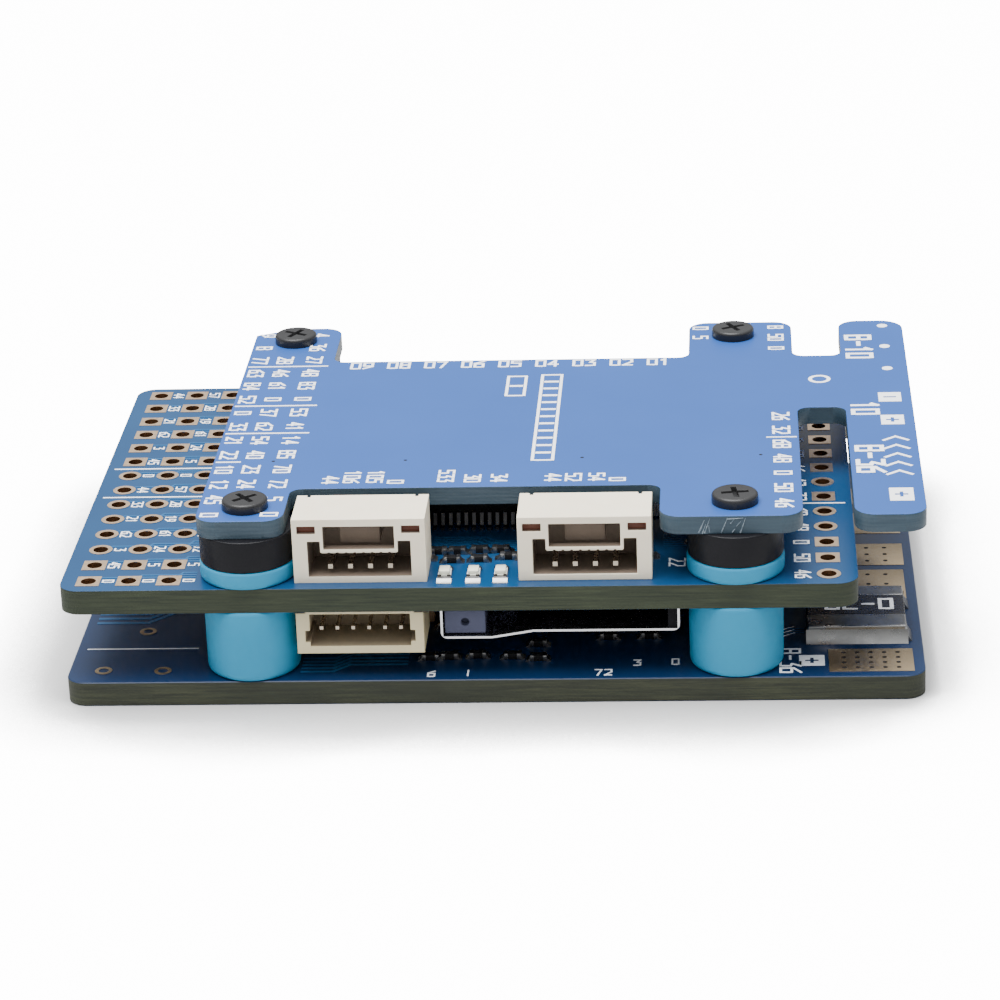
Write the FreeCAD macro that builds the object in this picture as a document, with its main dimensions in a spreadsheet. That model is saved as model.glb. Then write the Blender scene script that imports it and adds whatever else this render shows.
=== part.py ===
import FreeCAD, Part
import os
import re
import Sketcher

Vec = FreeCAD.Vector

# A stacked flight controller: a power board at the bottom, a controller board above it on four soft
# grommets, and a cover plate on four collars. Millimetres, +Z up, +X right, the front edge at -Y.
# The origin is the centre of the screw pattern, on the underside of the power board.

DIMS = {
    # boards and levels
    "pattern_pitch": 30.5,
    "power_long": 54.0,
    "board_wide": 36.0,
    "fc_right": 22.8,
    "board_thick": 1.6,
    "board_gap": 4.7,
    "cover_gap": 3.2,
    "cover_thick": 1.2,
    "board_corner": 1.3,
    "grommet_hole": 4.0,
    "fit_gap": 0.05,
    # cover plate outline
    "cover_side": 2.95,
    "cover_lip": 2.35,
    "cover_corner": 1.3,
    "inner_corner": 0.8,
    "arm_corner": 1.6,
    "chamfer_long": 2.7,
    "chamfer_short": 1.3,
    "notch_side_gap": 0.5,
    "notch_back_gap": 0.75,
    "slot_wide": 3.15,
    "slot_end": 1.0,
    "recess_side": 2.04,
    "recess_gap": 0.75,
    "tab_right": 4.05,
    # stack hardware
    "bore_wide": 3.0,
    "bore_depth": 5.4,
    "stem_bore": 2.4,
    "barrel_wide": 5.9,
    "flange_wide": 6.1,
    "flange_thick": 1.15,
    "soft_edge": 0.35,
    "collar_wide": 6.0,
    "stem_long": 2.2,
    "screw_wide": 1.5,
    "screw_long": 3.6,
    "screw_gap": 0.08,
    "head_wide": 2.9,
    "head_high": 0.65,
    "head_edge": 0.22,
    "recess_long": 1.7,
    "recess_wide": 0.34,
    "recess_deep": 0.35,
    # pad holes of the upper board
    "pad_pitch": 2.54,
    "pad_hole": 1.02,
    "side_rows": 14,
    "side_columns": 3,
    "side_column_edge": 1.76,
    "right_rows": 11,
    "servo_columns": 9,
    "servo_rows": 3,
    "servo_edge": 1.17,
    "right_column": 21.0,
    "first_row": 1.49,
    # four-way connectors on the upper board
    "can_mid": -8.05,
    "link_mid": 5.95,
    "gh_wide": 8.3,
    "gh_deep": 4.05,
    "gh_high": 4.25,
    "gh_setback": 0.9,
    "gh_side_wall": 0.93,
    "gh_mouth_low": 0.42,
    "gh_mouth_top": 2.78,
    "gh_back_wall": 0.8,
    "gh_window_inset": 1.93,
    "gh_window_low": 2.25,
    "gh_window_top": 3.77,
    "gh_frame_rim": 0.2,
    "gh_frame_deep": 0.7,
    "gh_pitch": 1.25,
    "gh_pin": 0.3,
    "gh_pin_level": 0.95,
    "gh_pin_inset": 0.4,
    "gh_foot": 0.75,
    "gh_slot_low": 3.3,
    "gh_slot_top": 3.8,
    "gh_slot_long": 1.15,
    "gh_slot_inset": 0.32,
    "gh_notch_wide": 0.22,
    "gh_notch_in": 0.75,
    "gh_notch_deep": 0.3,
    "gh_tab": 0.2,
    "gh_tab_long": 0.8,
    # six-way connector under the upper board
    "sh_mid": -8.2,
    "sh_wide": 8.0,
    "sh_deep": 4.25,
    "sh_high": 3.05,
    "sh_setback": 0.5,
    "sh_mouth_wide": 6.3,
    "sh_roof": 0.38,
    "sh_floor": 0.5,
    "sh_key": 0.3,
    "sh_key_low": 0.8,
    "sh_key_top": 1.55,
    "sh_back_wall": 0.9,
    "sh_pitch": 1.0,
    "sh_pin": 0.22,
    "sh_pin_level": 1.6,
    "sh_pin_inset": 0.7,
    "sh_notch": 0.6,
    "sh_notch_high": 0.28,
    # memory card slot under the upper board
    "sd_left": -3.15,
    "sd_wide": 14.9,
    "sd_deep": 15.2,
    "sd_setback": 0.5,
    "sd_lobe_high": 2.1,
    "sd_high": 1.68,
    "sd_skin": 0.14,
    "sd_lobe_wide": 3.2,
    "sd_ramp": 2.6,
    "sd_roof": 0.22,
    "sd_wall": 0.6,
    "sd_back_wall": 1.2,
    "sd_lane_wide": 2.55,
    "sd_slider_long": 6.2,
    "sd_slider_gap": 0.1,
    "sd_arm_long": 1.4,
    "sd_arm_reach": 1.3,
    "sd_contact_wide": 0.55,
    "sd_contact_pitch": 1.1,
    "sd_contact_long": 3.4,
    "sd_contact_thick": 0.12,
    "spring_wide": 1.2,
    "spring_wire": 0.2,
    "spring_turns": 7,
    # processor and other chips
    "mcu_x": -2.0,
    "mcu_y": -0.75,
    "mcu_body": 14.0,
    "mcu_span": 16.0,
    "mcu_body_high": 1.4,
    "mcu_standoff": 0.1,
    "mcu_corner": 0.7,
    "lead_pitch": 0.5,
    "lead_count": 25,
    "lead_wide": 0.22,
    "lead_thick": 0.14,
    "lead_exit": 0.75,
    "lead_foot": 0.55,
    "lead_stub": 0.22,
    "foot_wide": 0.35,
    "foot_thick": 0.21,
    "video_pitch": 0.65,
    # current shunt on the power board
    "shunt_edge": 1.0,
    "shunt_wide": 6.25,
    "shunt_setback": 5.2,
    "shunt_body": 3.0,
    "shunt_front_cap": 1.9,
    "shunt_rear_cap": 1.5,
    "shunt_high": 1.1,
    # coils on the power board
    "coil_size": 7.0,
    "coil_high": 3.0,
    "coil_y": 2.6,
    # link between the boards
    "plug_long": 16.6,
    "plug_wide": 2.6,
    "plug_y": 9.2,
    "plug_socket_high": 3.3,
    "plug_pitch": 1.27,
    "plug_pins": 12,
    "plug_pin": 0.3,
    "plug_hole": 0.5,
    # boot button under the rear right edge
    "boot_y": 14.6,
    "boot_inset": 0.35,
    "boot_deep": 3.0,
    "boot_wide": 3.9,
    "boot_high": 1.7,
    "boot_wall": 0.45,
    "boot_stem_wide": 1.7,
    "boot_stem_high": 0.8,
    "boot_stem_out": 0.95,
    "boot_stem_gap": 0.06,
    "boot_travel": 0.25,
    "boot_flange": 0.35,
    "boot_dome": 0.12,
}

# Levels of the stack, as expressions of the sheet's values.
POWER_TOP = "board_thick"
FC_BASE = "(board_thick + board_gap)"
FC_TOP = "(2 * board_thick + board_gap)"
COVER_BASE = "(2 * board_thick + board_gap + cover_gap)"
COVER_TOP = "(2 * board_thick + board_gap + cover_gap + cover_thick)"
FRONT = "(-board_wide / 2)"
HALF_PITCH = "(pattern_pitch / 2)"
POWER_RIGHT = "(power_long / 2)"
CORNERS = {"front_left": (-1, -1), "front_right": (1, -1), "rear_left": (-1, 1), "rear_right": (1, 1)}

doc = FreeCAD.newDocument("flight_controller")
sheet = doc.addObject("Spreadsheet::Sheet", "dims")
nodes = []


def fill_sheet():
    """Write each driving dimension to a cell and give the cell its alias."""
    for row, (name, number) in enumerate(DIMS.items(), start=1):
        sheet.set("A%d" % row, name)
        sheet.set("B%d" % row, str(number))
        sheet.setAlias("B%d" % row, name)
    doc.recompute()


def size(name):
    """The value of one cell, for counts and loops."""
    return float(sheet.get(name))


def linked(text):
    """The expression with each driving dimension read from the sheet."""
    def looked_up(word):
        return "dims." + word.group(0) if word.group(0) in DIMS else word.group(0)

    return re.sub(r"[a-z_]+", looked_up, str(text))


def bind(piece, prop, text):
    piece.setExpression(prop, linked(text))


def keep(piece, label):
    """Make the object a sub-part with its own name."""
    piece.Label = label
    nodes.append(piece)
    return piece


# --- primitives and booleans ---

def block(name, across, along, up):
    """A box between low and high limits along X, Y and Z."""
    box = doc.addObject("Part::Box", name)
    limits = {"x": across, "y": along, "z": up}
    for (axis, (low, high)), length in zip(limits.items(), ("Length", "Width", "Height")):
        bind(box, length, "(%s) - (%s)" % (high, low))
        bind(box, "Placement.Base." + axis, low)
    return box


def centred(name, middle, spans, base):
    """A box of three spans, centred on middle in X and Y, standing on base."""
    (mid_x, mid_y), (long_x, long_y, high) = middle, spans
    return block(name, ("%s - (%s) / 2" % (mid_x, long_x), "%s + (%s) / 2" % (mid_x, long_x)),
                 ("%s - (%s) / 2" % (mid_y, long_y), "%s + (%s) / 2" % (mid_y, long_y)),
                 (base, "%s + %s" % (base, high)))


def joined(name, pieces):
    fuse = doc.addObject("Part::MultiFuse", name)
    fuse.Shapes = pieces
    return fuse


def cut(name, base, tools):
    cutter = doc.addObject("Part::Cut", name)
    cutter.Base = base
    cutter.Tool = joined(name + "_tools", tools) if len(tools) > 1 else tools[0]
    return cutter


def group(name, pieces):
    """Separate solids kept in one node."""
    compound = doc.addObject("Part::Compound", name)
    compound.Links = pieces
    return compound


# --- bodies made from sketches ---

def new_body(name, lift="0", shift=("0", "0")):
    body = doc.addObject("PartDesign::Body", name)
    bind(body, "Placement.Base.x", shift[0])
    bind(body, "Placement.Base.y", shift[1])
    bind(body, "Placement.Base.z", lift)
    return body


def new_sketch(body, name, plane):
    sketch = body.newObject("Sketcher::SketchObject", name)
    origin_plane = [item for item in body.Origin.OriginFeatures if item.Role == plane][0]
    sketch.AttachmentSupport = [(origin_plane, "")]
    sketch.MapMode = "FlatFace"
    return sketch


def place_point(sketch, item, end, point):
    """Tie one point of a sketch to its two coordinates."""
    for kind, text in zip(("DistanceX", "DistanceY"), point):
        index = sketch.addConstraint(Sketcher.Constraint(kind, -1, 1, item, end, 1.0))
        sketch.setExpression("Constraints[%d]" % index, linked(text))


def outline(body, name, plane, points):
    """A closed outline of straight edges, each corner tied to the sheet."""
    sketch = new_sketch(body, name, plane)
    count = len(points)
    for index in range(count):
        start = Vec(index, index * index, 0)
        end = Vec(index + 1, (index + 1) * (index + 1), 0)
        sketch.addGeometry(Part.LineSegment(start, end if index < count - 1 else Vec(0, 0, 0)))
    for index in range(count):
        sketch.addConstraint(Sketcher.Constraint("Coincident", index, 2, (index + 1) % count, 1))
    for index, point in enumerate(points):
        place_point(sketch, index, 1, point)
    return sketch


def rings(body, name, centres, diameter):
    """Circles of one diameter in the XY plane."""
    sketch = new_sketch(body, name, "XY_Plane")
    for index, centre in enumerate(centres):
        sketch.addGeometry(Part.Circle(Vec(index, 0, 0), Vec(0, 0, 1), 0.3))
        place_point(sketch, index, 3, centre)
        radius = sketch.addConstraint(Sketcher.Constraint("Radius", index, 0.3))
        sketch.setExpression("Constraints[%d]" % radius, linked("(%s) / 2" % diameter))
    return sketch


def pad(body, sketch, length, toward=False):
    feature = body.newObject("PartDesign::Pad", sketch.Name + "_pad")
    feature.Profile = sketch
    feature.Reversed = toward
    bind(feature, "Length", length)
    doc.recompute()
    return feature


def hole_through(body, sketch):
    """Cut a sketch through a body that stands on the XY plane."""
    feature = body.newObject("PartDesign::Pocket", sketch.Name + "_cut")
    feature.Profile = sketch
    feature.Type = "ThroughAll"
    feature.Reversed = True
    doc.recompute()
    return feature


def turned(body, name, points):
    """A solid of revolution about Z from points (radius, height)."""
    sketch = outline(body, name, "XZ_Plane", points)
    feature = body.newObject("PartDesign::Revolution", name + "_turned")
    feature.Profile = sketch
    feature.ReferenceAxis = (sketch, ["V_Axis"])
    feature.Angle = 360.0
    doc.recompute()
    return sketch, feature


def repeat(body, feature, role, pitch, count):
    """Copies of a feature in a straight row along an axis of its body."""
    body.AllowCompound = True
    row = body.newObject("PartDesign::LinearPattern", feature.Name + "_row")
    row.Originals = [feature]
    row.Direction = ([item for item in body.Origin.OriginFeatures if item.Role == role][0], [""])
    row.Occurrences = count
    bind(row, "Length", "(%s) * %d" % (pitch, count - 1))
    body.Tip = row
    doc.recompute()
    return row


def edges_at(shape, points, kind):
    """Names of the edges of one kind that pass through the points."""
    names = []
    for number, edge in enumerate(shape.Edges, start=1):
        if edge.Curve.TypeId != kind:
            continue
        if any(edge.distToShape(Part.Vertex(point))[0] < 1e-4 for point in points):
            names.append("Edge%d" % number)
    return names


def rounded(body, feature, points, radius, kind="Part::GeomLine"):
    fillet = body.newObject("PartDesign::Fillet", feature.Name + "_round")
    fillet.Base = (feature, edges_at(feature.Shape, points, kind))
    bind(fillet, "Radius", radius)
    body.Tip = fillet
    doc.recompute()
    return fillet


def corner_points(sketch, indexes, height):
    """Where the upright edges above some corners of a sketch are."""
    places = [sketch.Geometry[index].StartPoint for index in indexes]
    return [Vec(place.x, place.y, height) for place in places]


def rim_points(sketch, indexes):
    """Points on the circles that some corners of a turned outline sweep."""
    places = [sketch.Geometry[index].StartPoint for index in indexes]
    return [Vec(place.x, 0, place.y) for place in places]


# --- boards and cover ---

def pad_row(low, count):
    """Places along a row of pad holes that starts at low."""
    return ["%s + pad_pitch * %d" % (low, index) for index in range(int(count))]


def at_corner(side, end):
    return ("%d * pattern_pitch / 2" % side, "%d * pattern_pitch / 2" % end)


def grommet_centres():
    return [at_corner(side, end) for side, end in CORNERS.values()]


def board(name, left, right, lift, pad_centres):
    """A board with rounded corners, the four grommet holes and its pad holes."""
    body = new_body(name, lift)
    corners = [(left, FRONT), (right, FRONT), (right, "board_wide / 2"), (left, "board_wide / 2")]
    sketch = outline(body, name + "_outline", "XY_Plane", corners)
    slab = pad(body, sketch, "board_thick")
    middle = size("board_thick") / 2
    rounded(body, slab, corner_points(sketch, range(4), middle), "board_corner")
    hole_through(body, rings(body, name + "_grommet_holes", grommet_centres(), "grommet_hole"))
    if pad_centres:
        hole_through(body, rings(body, name + "_pad_holes", pad_centres, "pad_hole"))
    return keep(body, name)


def fc_pad_centres():
    first = FRONT + " + first_row"
    rows = pad_row(first, size("side_rows"))
    columns = pad_row("-%s + side_column_edge" % POWER_RIGHT, size("side_columns"))
    side = [(column, row) for column in columns for row in rows]
    right = [("right_column", row) for row in pad_row(first, size("right_rows"))]
    servo_low = "-pad_pitch * %d / 2" % (size("servo_columns") - 1)
    servo_back = "board_wide / 2 - servo_edge - pad_pitch * %d" % (size("servo_rows") - 1)
    servo = [(column, row) for column in pad_row(servo_low, size("servo_columns"))
             for row in pad_row(servo_back, size("servo_rows"))]
    return side + right + servo


def boards():
    board("power_board", "-" + POWER_RIGHT, POWER_RIGHT, "0", [])
    board("fc_board", "-" + POWER_RIGHT, "fc_right", FC_BASE, fc_pad_centres())


def cover_outline():
    """Corners of the cover, anticlockwise from the front of the left lobe, with their rounding."""
    front = "-%s - cover_lip" % HALF_PITCH
    back = "board_wide / 2"
    left = "-%s - cover_side" % HALF_PITCH
    notch_left = "can_mid - gh_wide / 2 - notch_side_gap"
    notch_right = "link_mid + gh_wide / 2 + notch_side_gap"
    notch_back = "%s + gh_setback + gh_deep + notch_back_gap" % FRONT
    slot_left = "right_column - slot_wide / 2"
    slot_right = "right_column + slot_wide / 2"
    recess_half = "(pad_pitch * (servo_columns - 1) / 2 + recess_side)"
    recess_front = "board_wide / 2 - servo_edge - pad_pitch * (servo_rows - 1) - recess_gap"
    tab_right = HALF_PITCH + " + tab_right"
    return [
        (left, front, "outer"), (notch_left, front, "outer"),
        (notch_left, notch_back, "inner"), (notch_right, notch_back, "inner"),
        (notch_right, front, "outer"), (slot_left, front, "outer"),
        (slot_left, "slot_end", "inner"), (slot_right, "slot_end", "inner"),
        (slot_right, front, "outer"), (POWER_RIGHT, front, "outer"),
        (POWER_RIGHT, back, "arm"), (slot_right, back, "outer"),
        (slot_right, recess_front, "inner"), (tab_right, recess_front, "inner"),
        (tab_right, back, "outer"), (recess_half, back, "outer"),
        (recess_half, recess_front, "inner"), ("-" + recess_half, recess_front, "inner"),
        ("-" + recess_half, back, "outer"), (left + " + chamfer_long", back, "none"),
        (left, back + " - chamfer_short", "none"),
    ]


def cover_plate():
    body = new_body("top_cover_plate", COVER_BASE)
    corners = cover_outline()
    points = [(across, along) for across, along, rounding in corners]
    sketch = outline(body, "cover_outline", "XY_Plane", points)
    feature = pad(body, sketch, "cover_thick")
    middle = size("cover_thick") / 2
    for rounding, radius in (("outer", "cover_corner"), ("inner", "inner_corner"), ("arm", "arm_corner")):
        chosen = [index for index, corner in enumerate(corners) if corner[2] == rounding]
        feature = rounded(body, feature, corner_points(sketch, chosen, middle), radius)
    hole_through(body, rings(body, "cover_screw_holes", grommet_centres(), "screw_wide + 4 * screw_gap"))
    keep(body, "top_cover_plate")


# --- stack hardware ---

def grommet(name, side, end):
    """Soft isolator: necks in both boards, a barrel between them, a flange on the upper board."""
    body = new_body(name, "0", at_corner(side, end))
    neck = "(grommet_hole / 2 - fit_gap)"
    flange_top = FC_TOP + " + flange_thick"
    points = [
        ("bore_wide / 2", "0"), (neck, "0"), (neck, POWER_TOP), ("barrel_wide / 2", POWER_TOP),
        ("barrel_wide / 2", FC_BASE), (neck, FC_BASE), (neck, FC_TOP), ("flange_wide / 2", FC_TOP),
        ("flange_wide / 2", flange_top), ("stem_bore / 2", flange_top),
        ("stem_bore / 2", "bore_depth"), ("bore_wide / 2", "bore_depth"),
    ]
    sketch, feature = turned(body, name + "_profile", points)
    rounded(body, feature, rim_points(sketch, (3, 4, 7, 8)), "soft_edge", "Part::GeomCircle")
    keep(body, name)


def collar(name, side, end):
    """Hard collar on the grommet, with a stem in its bore and a pilot hole for the cover screw."""
    base = FC_TOP + " + flange_thick"
    body = new_body(name, base, at_corner(side, end))
    high = "cover_gap - flange_thick"
    pilot = "(screw_wide / 2 + screw_gap)"
    stem = "(stem_bore / 2 - fit_gap)"
    floor = "-stem_long"
    pilot_floor = high + " - screw_long + cover_thick - 2 * screw_gap"
    points = [("0", floor), (stem, floor), (stem, "0"), ("collar_wide / 2", "0"), ("collar_wide / 2", high),
              (pilot, high), (pilot, pilot_floor), ("0", pilot_floor)]
    sketch, feature = turned(body, name + "_profile", points)
    rounded(body, feature, rim_points(sketch, (3, 4)), "head_edge / 2", "Part::GeomCircle")
    keep(body, name)


def screw(name, side, end, turn):
    """Pan-head screw with a cross recess, turned by its own angle."""
    body = new_body(name, COVER_TOP, at_corner(side, end))
    bind(body, "Placement.Rotation.Angle", str(turn))
    shank = "screw_wide / 2"
    points = [("0", "-screw_long"), (shank, "-screw_long"), (shank, "0"), ("head_wide / 2", "0"),
              ("head_wide / 2", "head_high"), ("0", "head_high")]
    sketch, feature = turned(body, name + "_profile", points)
    rounded(body, feature, rim_points(sketch, (4,)), "head_edge", "Part::GeomCircle")
    reach = "recess_long / 2"
    edge = "recess_wide / 2"
    cross = [("-" + reach, "-" + edge), ("-" + edge, "-" + edge), ("-" + edge, "-" + reach),
             (edge, "-" + reach), (edge, "-" + edge), (reach, "-" + edge), (reach, edge), (edge, edge),
             (edge, reach), ("-" + edge, reach), ("-" + edge, edge), ("-" + reach, edge)]
    recess = outline(body, name + "_cross", "XY_Plane", cross)
    recess.setExpression("AttachmentOffset.Base.z", linked("head_high"))
    feature = body.newObject("PartDesign::Pocket", name + "_recess")
    feature.Profile = recess
    bind(feature, "Length", "recess_deep")
    doc.recompute()
    return body


def stack_hardware():
    turns = {"front_left": 38, "front_right": 8, "rear_left": 61, "rear_right": 27}
    for corner, (side, end) in CORNERS.items():
        grommet("grommet_" + corner, side, end)
        collar("spacer_collar_" + corner, side, end)
    screws = [screw("screw_" + corner, side, end, turns[corner]) for corner, (side, end) in CORNERS.items()]
    keep(group("screw_set", screws), "cover_screws")


# --- connectors ---

def span(middle, wide):
    """Low and high limits of a width about a middle."""
    return ("%s - (%s) / 2" % (middle, wide), "%s + (%s) / 2" % (middle, wide))


def offsets(count):
    """Steps from the middle of a row of count items."""
    return [index - (count - 1) / 2 for index in range(count)]


def gh_housing(prefix, middle):
    """Four-way shroud: a wide mouth, a latch window above it, and two side slots."""
    front = FRONT + " + gh_setback"
    back = front + " + gh_deep"
    inner = back + " - gh_back_wall"

    def level(text):
        return "%s + %s" % (FC_TOP, text)

    shell = block(prefix + "_shell", span(middle, "gh_wide"), (front, back), (FC_TOP, level("gh_high")))
    mouth = block(prefix + "_mouth", span(middle, "gh_wide - 2 * gh_side_wall"), (front, inner),
                  (level("gh_mouth_low"), level("gh_mouth_top")))
    frame = block(prefix + "_frame", span(middle, "gh_wide - 2 * gh_window_inset + 2 * gh_frame_rim"),
                  (front, front + " + gh_frame_deep"),
                  (level("gh_window_low - gh_frame_rim"), level("gh_mouth_top")))
    hollowed = cut(prefix + "_hollowed", shell, [mouth])
    framed = joined(prefix + "_framed", [hollowed, frame])
    cuts = [block(prefix + "_window", span(middle, "gh_wide - 2 * gh_window_inset"), (front, inner),
                  (level("gh_window_low"), level("gh_window_top")))]
    for side in (-1, 1):
        outer = "%s + %d * (gh_wide / 2 - gh_slot_inset)" % (middle, side)
        slot_middle = "%s - %d * gh_slot_long / 2" % (outer, side)
        cuts.append(block("%s_slot_%s" % (prefix, "lr"[side > 0]), span(slot_middle, "gh_slot_long"),
                          (front, inner), (level("gh_slot_low"), level("gh_slot_top"))))
        notch_middle = "%s + %d * (gh_wide / 2 - gh_notch_in)" % (middle, side)
        cuts.append(block("%s_notch_%s" % (prefix, "lr"[side > 0]), span(notch_middle, "gh_notch_wide"),
                          (back + " - gh_notch_deep", back), (level("gh_slot_top"), level("gh_high"))))
    pin_limits = (level("gh_pin_level - gh_pin / 2"), level("gh_pin_level + gh_pin / 2"))
    for step in offsets(4):
        across = span("%s + gh_pitch * %s" % (middle, step), "gh_pin")
        cuts.append(block("%s_pin_hole" % prefix, across, (inner, back), pin_limits))
    keep(cut(prefix + "_housing_cut", framed, cuts), prefix + "_housing")


def bent_pins(prefix, middle, base, sign, row):
    """Square pins through a back wall, each bent down to a foot on the board."""
    pins = []
    half = "%s / 2" % row["pin"]
    depth = (row["back"], "%s + %s" % (row["back"], row["pin"]))
    for step in offsets(row["count"]):
        across = span("%s + %s * %s" % (middle, row["pitch"], step), row["pin"])
        level = "%s + %d * (%s)" % (base, sign, row["level"])
        post = block(prefix + "_post", across, (row["tip"], depth[1]),
                     ("%s - %s" % (level, half), "%s + %s" % (level, half)))
        low, high = (base, "%s + %s" % (level, half)) if sign > 0 else ("%s - %s" % (level, half), base)
        drop = block(prefix + "_drop", across, depth, (low, high))
        foot_top = "%s + %d * %s" % (base, sign, row["pin"])
        limits = (base, foot_top) if sign > 0 else (foot_top, base)
        foot = block(prefix + "_foot", across, (row["back"], "%s + %s" % (row["back"], row["foot"])), limits)
        pins.append(joined(prefix + "_pin", [post, drop, foot]))
    keep(group(prefix + "_pin_row", pins), prefix + "_pins")


def side_tabs(prefix, middle, wide, back, base, sign):
    """Solder tabs that hold a housing down at its two ends, near its back."""
    tabs = []
    limits = ("%s - fit_gap - gh_tab_long" % back, "%s - fit_gap" % back)
    for side in (-1, 1):
        edge = "%s + %d * (%s) / 2" % (middle, side, wide)
        tab_middle = "%s + %d * gh_tab / 2" % (edge, side)
        up = (base, base + " + gh_tab") if sign > 0 else (base + " - gh_tab", base)
        tabs.append(block(prefix + "_tab", span(tab_middle, "gh_tab"), limits, up))
    keep(group(prefix + "_tab_pair", tabs), prefix + "_tabs")


def gh_connector(prefix, middle):
    gh_housing(prefix, middle)
    front = FRONT + " + gh_setback"
    row = {"count": 4, "pitch": "gh_pitch", "pin": "gh_pin", "level": "gh_pin_level", "foot": "gh_foot",
           "tip": front + " + gh_pin_inset", "back": front + " + gh_deep"}
    bent_pins(prefix, middle, FC_TOP, 1, row)
    side_tabs(prefix, middle, "gh_wide", front + " + gh_deep", FC_TOP, 1)


def sh_connector(prefix, middle):
    """Six-way shroud hung under the upper board, with side keys in its mouth."""
    front = FRONT + " + sh_setback"
    back = front + " + sh_deep"
    inner = back + " - sh_back_wall"
    floor = FC_BASE + " - sh_high"
    shell = block(prefix + "_shell", span(middle, "sh_wide"), (front, back), (floor, FC_BASE))
    cuts = [
        block(prefix + "_mouth", span(middle, "sh_mouth_wide"), (front, inner),
              (floor + " + sh_floor", FC_BASE + " - sh_roof")),
        block(prefix + "_keys", span(middle, "sh_mouth_wide + 2 * sh_key"), (front, inner),
              (floor + " + sh_key_low", floor + " + sh_key_top")),
    ]
    for side in (-1, 1):
        notch_middle = "%s + %d * (sh_wide - sh_notch) / 2" % (middle, side)
        cuts.append(block(prefix + "_notch", span(notch_middle, "sh_notch"), (front, front + " + sh_notch"),
                          (FC_BASE + " - sh_notch_high", FC_BASE)))
    for step in offsets(6):
        cuts.append(block(prefix + "_pin_hole", span("%s + sh_pitch * %s" % (middle, step), "sh_pin"),
                          (inner, back), (FC_BASE + " - sh_pin_level - sh_pin / 2",
                                          FC_BASE + " - sh_pin_level + sh_pin / 2")))
    keep(cut(prefix + "_housing_cut", shell, cuts), prefix + "_housing")
    row = {"count": 6, "pitch": "sh_pitch", "pin": "sh_pin", "level": "sh_pin_level", "foot": "gh_foot",
           "tip": front + " + sh_pin_inset", "back": back}
    bent_pins(prefix, middle, FC_BASE, -1, row)
    side_tabs(prefix, middle, "sh_wide", back, FC_BASE, -1)


# --- memory card slot ---

SD_FRONT = FRONT + " + sd_setback"
SD_BACK = SD_FRONT + " + sd_deep"
SD_RIGHT = "sd_left + sd_wide"
LOBE_FLOOR = FC_BASE + " - sd_lobe_high"
ROOF_LOW = FC_BASE + " - sd_roof"


def sd_section(inset):
    """Front outline of the slot's shell, or its inside when inset by the skin."""
    lobe_end = "sd_left + sd_lobe_wide"
    low = "%s + %s" % (LOBE_FLOOR, inset)
    high = "%s - sd_high + %s" % (FC_BASE, inset)
    left = "sd_left + %s" % inset
    right = "%s - %s" % (SD_RIGHT, inset)
    top = FC_BASE if inset == "0" else FC_BASE + " + fit_gap"
    return [(left, low), (lobe_end, low), (lobe_end + " + sd_ramp", high), (right, high), (right, top),
            (left, top)]


def sd_shell():
    """Folded steel shell, deeper on the left where the slider runs, open at the front and to the board."""
    body = new_body("sd_slot_shell_body", "0", ("0", SD_FRONT))
    sketch = outline(body, "sd_shell_outline", "XZ_Plane", sd_section("0"))
    solid = pad(body, sketch, "sd_deep", True)
    half = size("sd_deep") / 2
    corners = [sketch.Geometry[index].StartPoint for index in (0, 3)]
    rounded(body, solid, [Vec(place.x, half, place.y) for place in corners], "sd_skin * 3")
    inside = outline(body, "sd_shell_inside", "XZ_Plane", sd_section("sd_skin"))
    feature = body.newObject("PartDesign::Pocket", "sd_shell_hollow")
    feature.Profile = inside
    bind(feature, "Length", "sd_deep - sd_skin")
    doc.recompute()
    keep(body, "sd_slot_shell")


def sd_base():
    """Plastic base against the board: a roof, a right wall and a back wall inside the shell."""
    left = "sd_left + sd_skin"
    right = SD_RIGHT + " - sd_skin"
    floor = FC_BASE + " - sd_high + sd_skin"
    back = SD_BACK + " - sd_skin"
    roof = block("sd_roof", (left, right), (SD_FRONT, back), (ROOF_LOW, FC_BASE))
    wall = block("sd_right_wall", (right + " - sd_wall", right), (SD_FRONT + " + sd_skin", back),
                 (floor, ROOF_LOW))
    rear = block("sd_rear_wall", (left, right), (back + " - sd_back_wall", back), (floor, ROOF_LOW))
    keep(joined("sd_base_parts", [roof, wall, rear]), "sd_slot_base")


def sd_contacts():
    """Eight contact springs under the roof."""
    middle = "sd_left + sd_wide / 2 + sd_lobe_wide / 3"
    start = SD_BACK + " - sd_skin - sd_back_wall - sd_contact_long"
    fingers = []
    for step in offsets(8):
        across = span("%s + sd_contact_pitch * %s" % (middle, step), "sd_contact_wide")
        fingers.append(block("sd_finger", across, (start, start + " + sd_contact_long"),
                             (ROOF_LOW + " - sd_contact_thick", ROOF_LOW)))
    keep(group("sd_fingers", fingers), "sd_slot_contacts")


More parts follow.
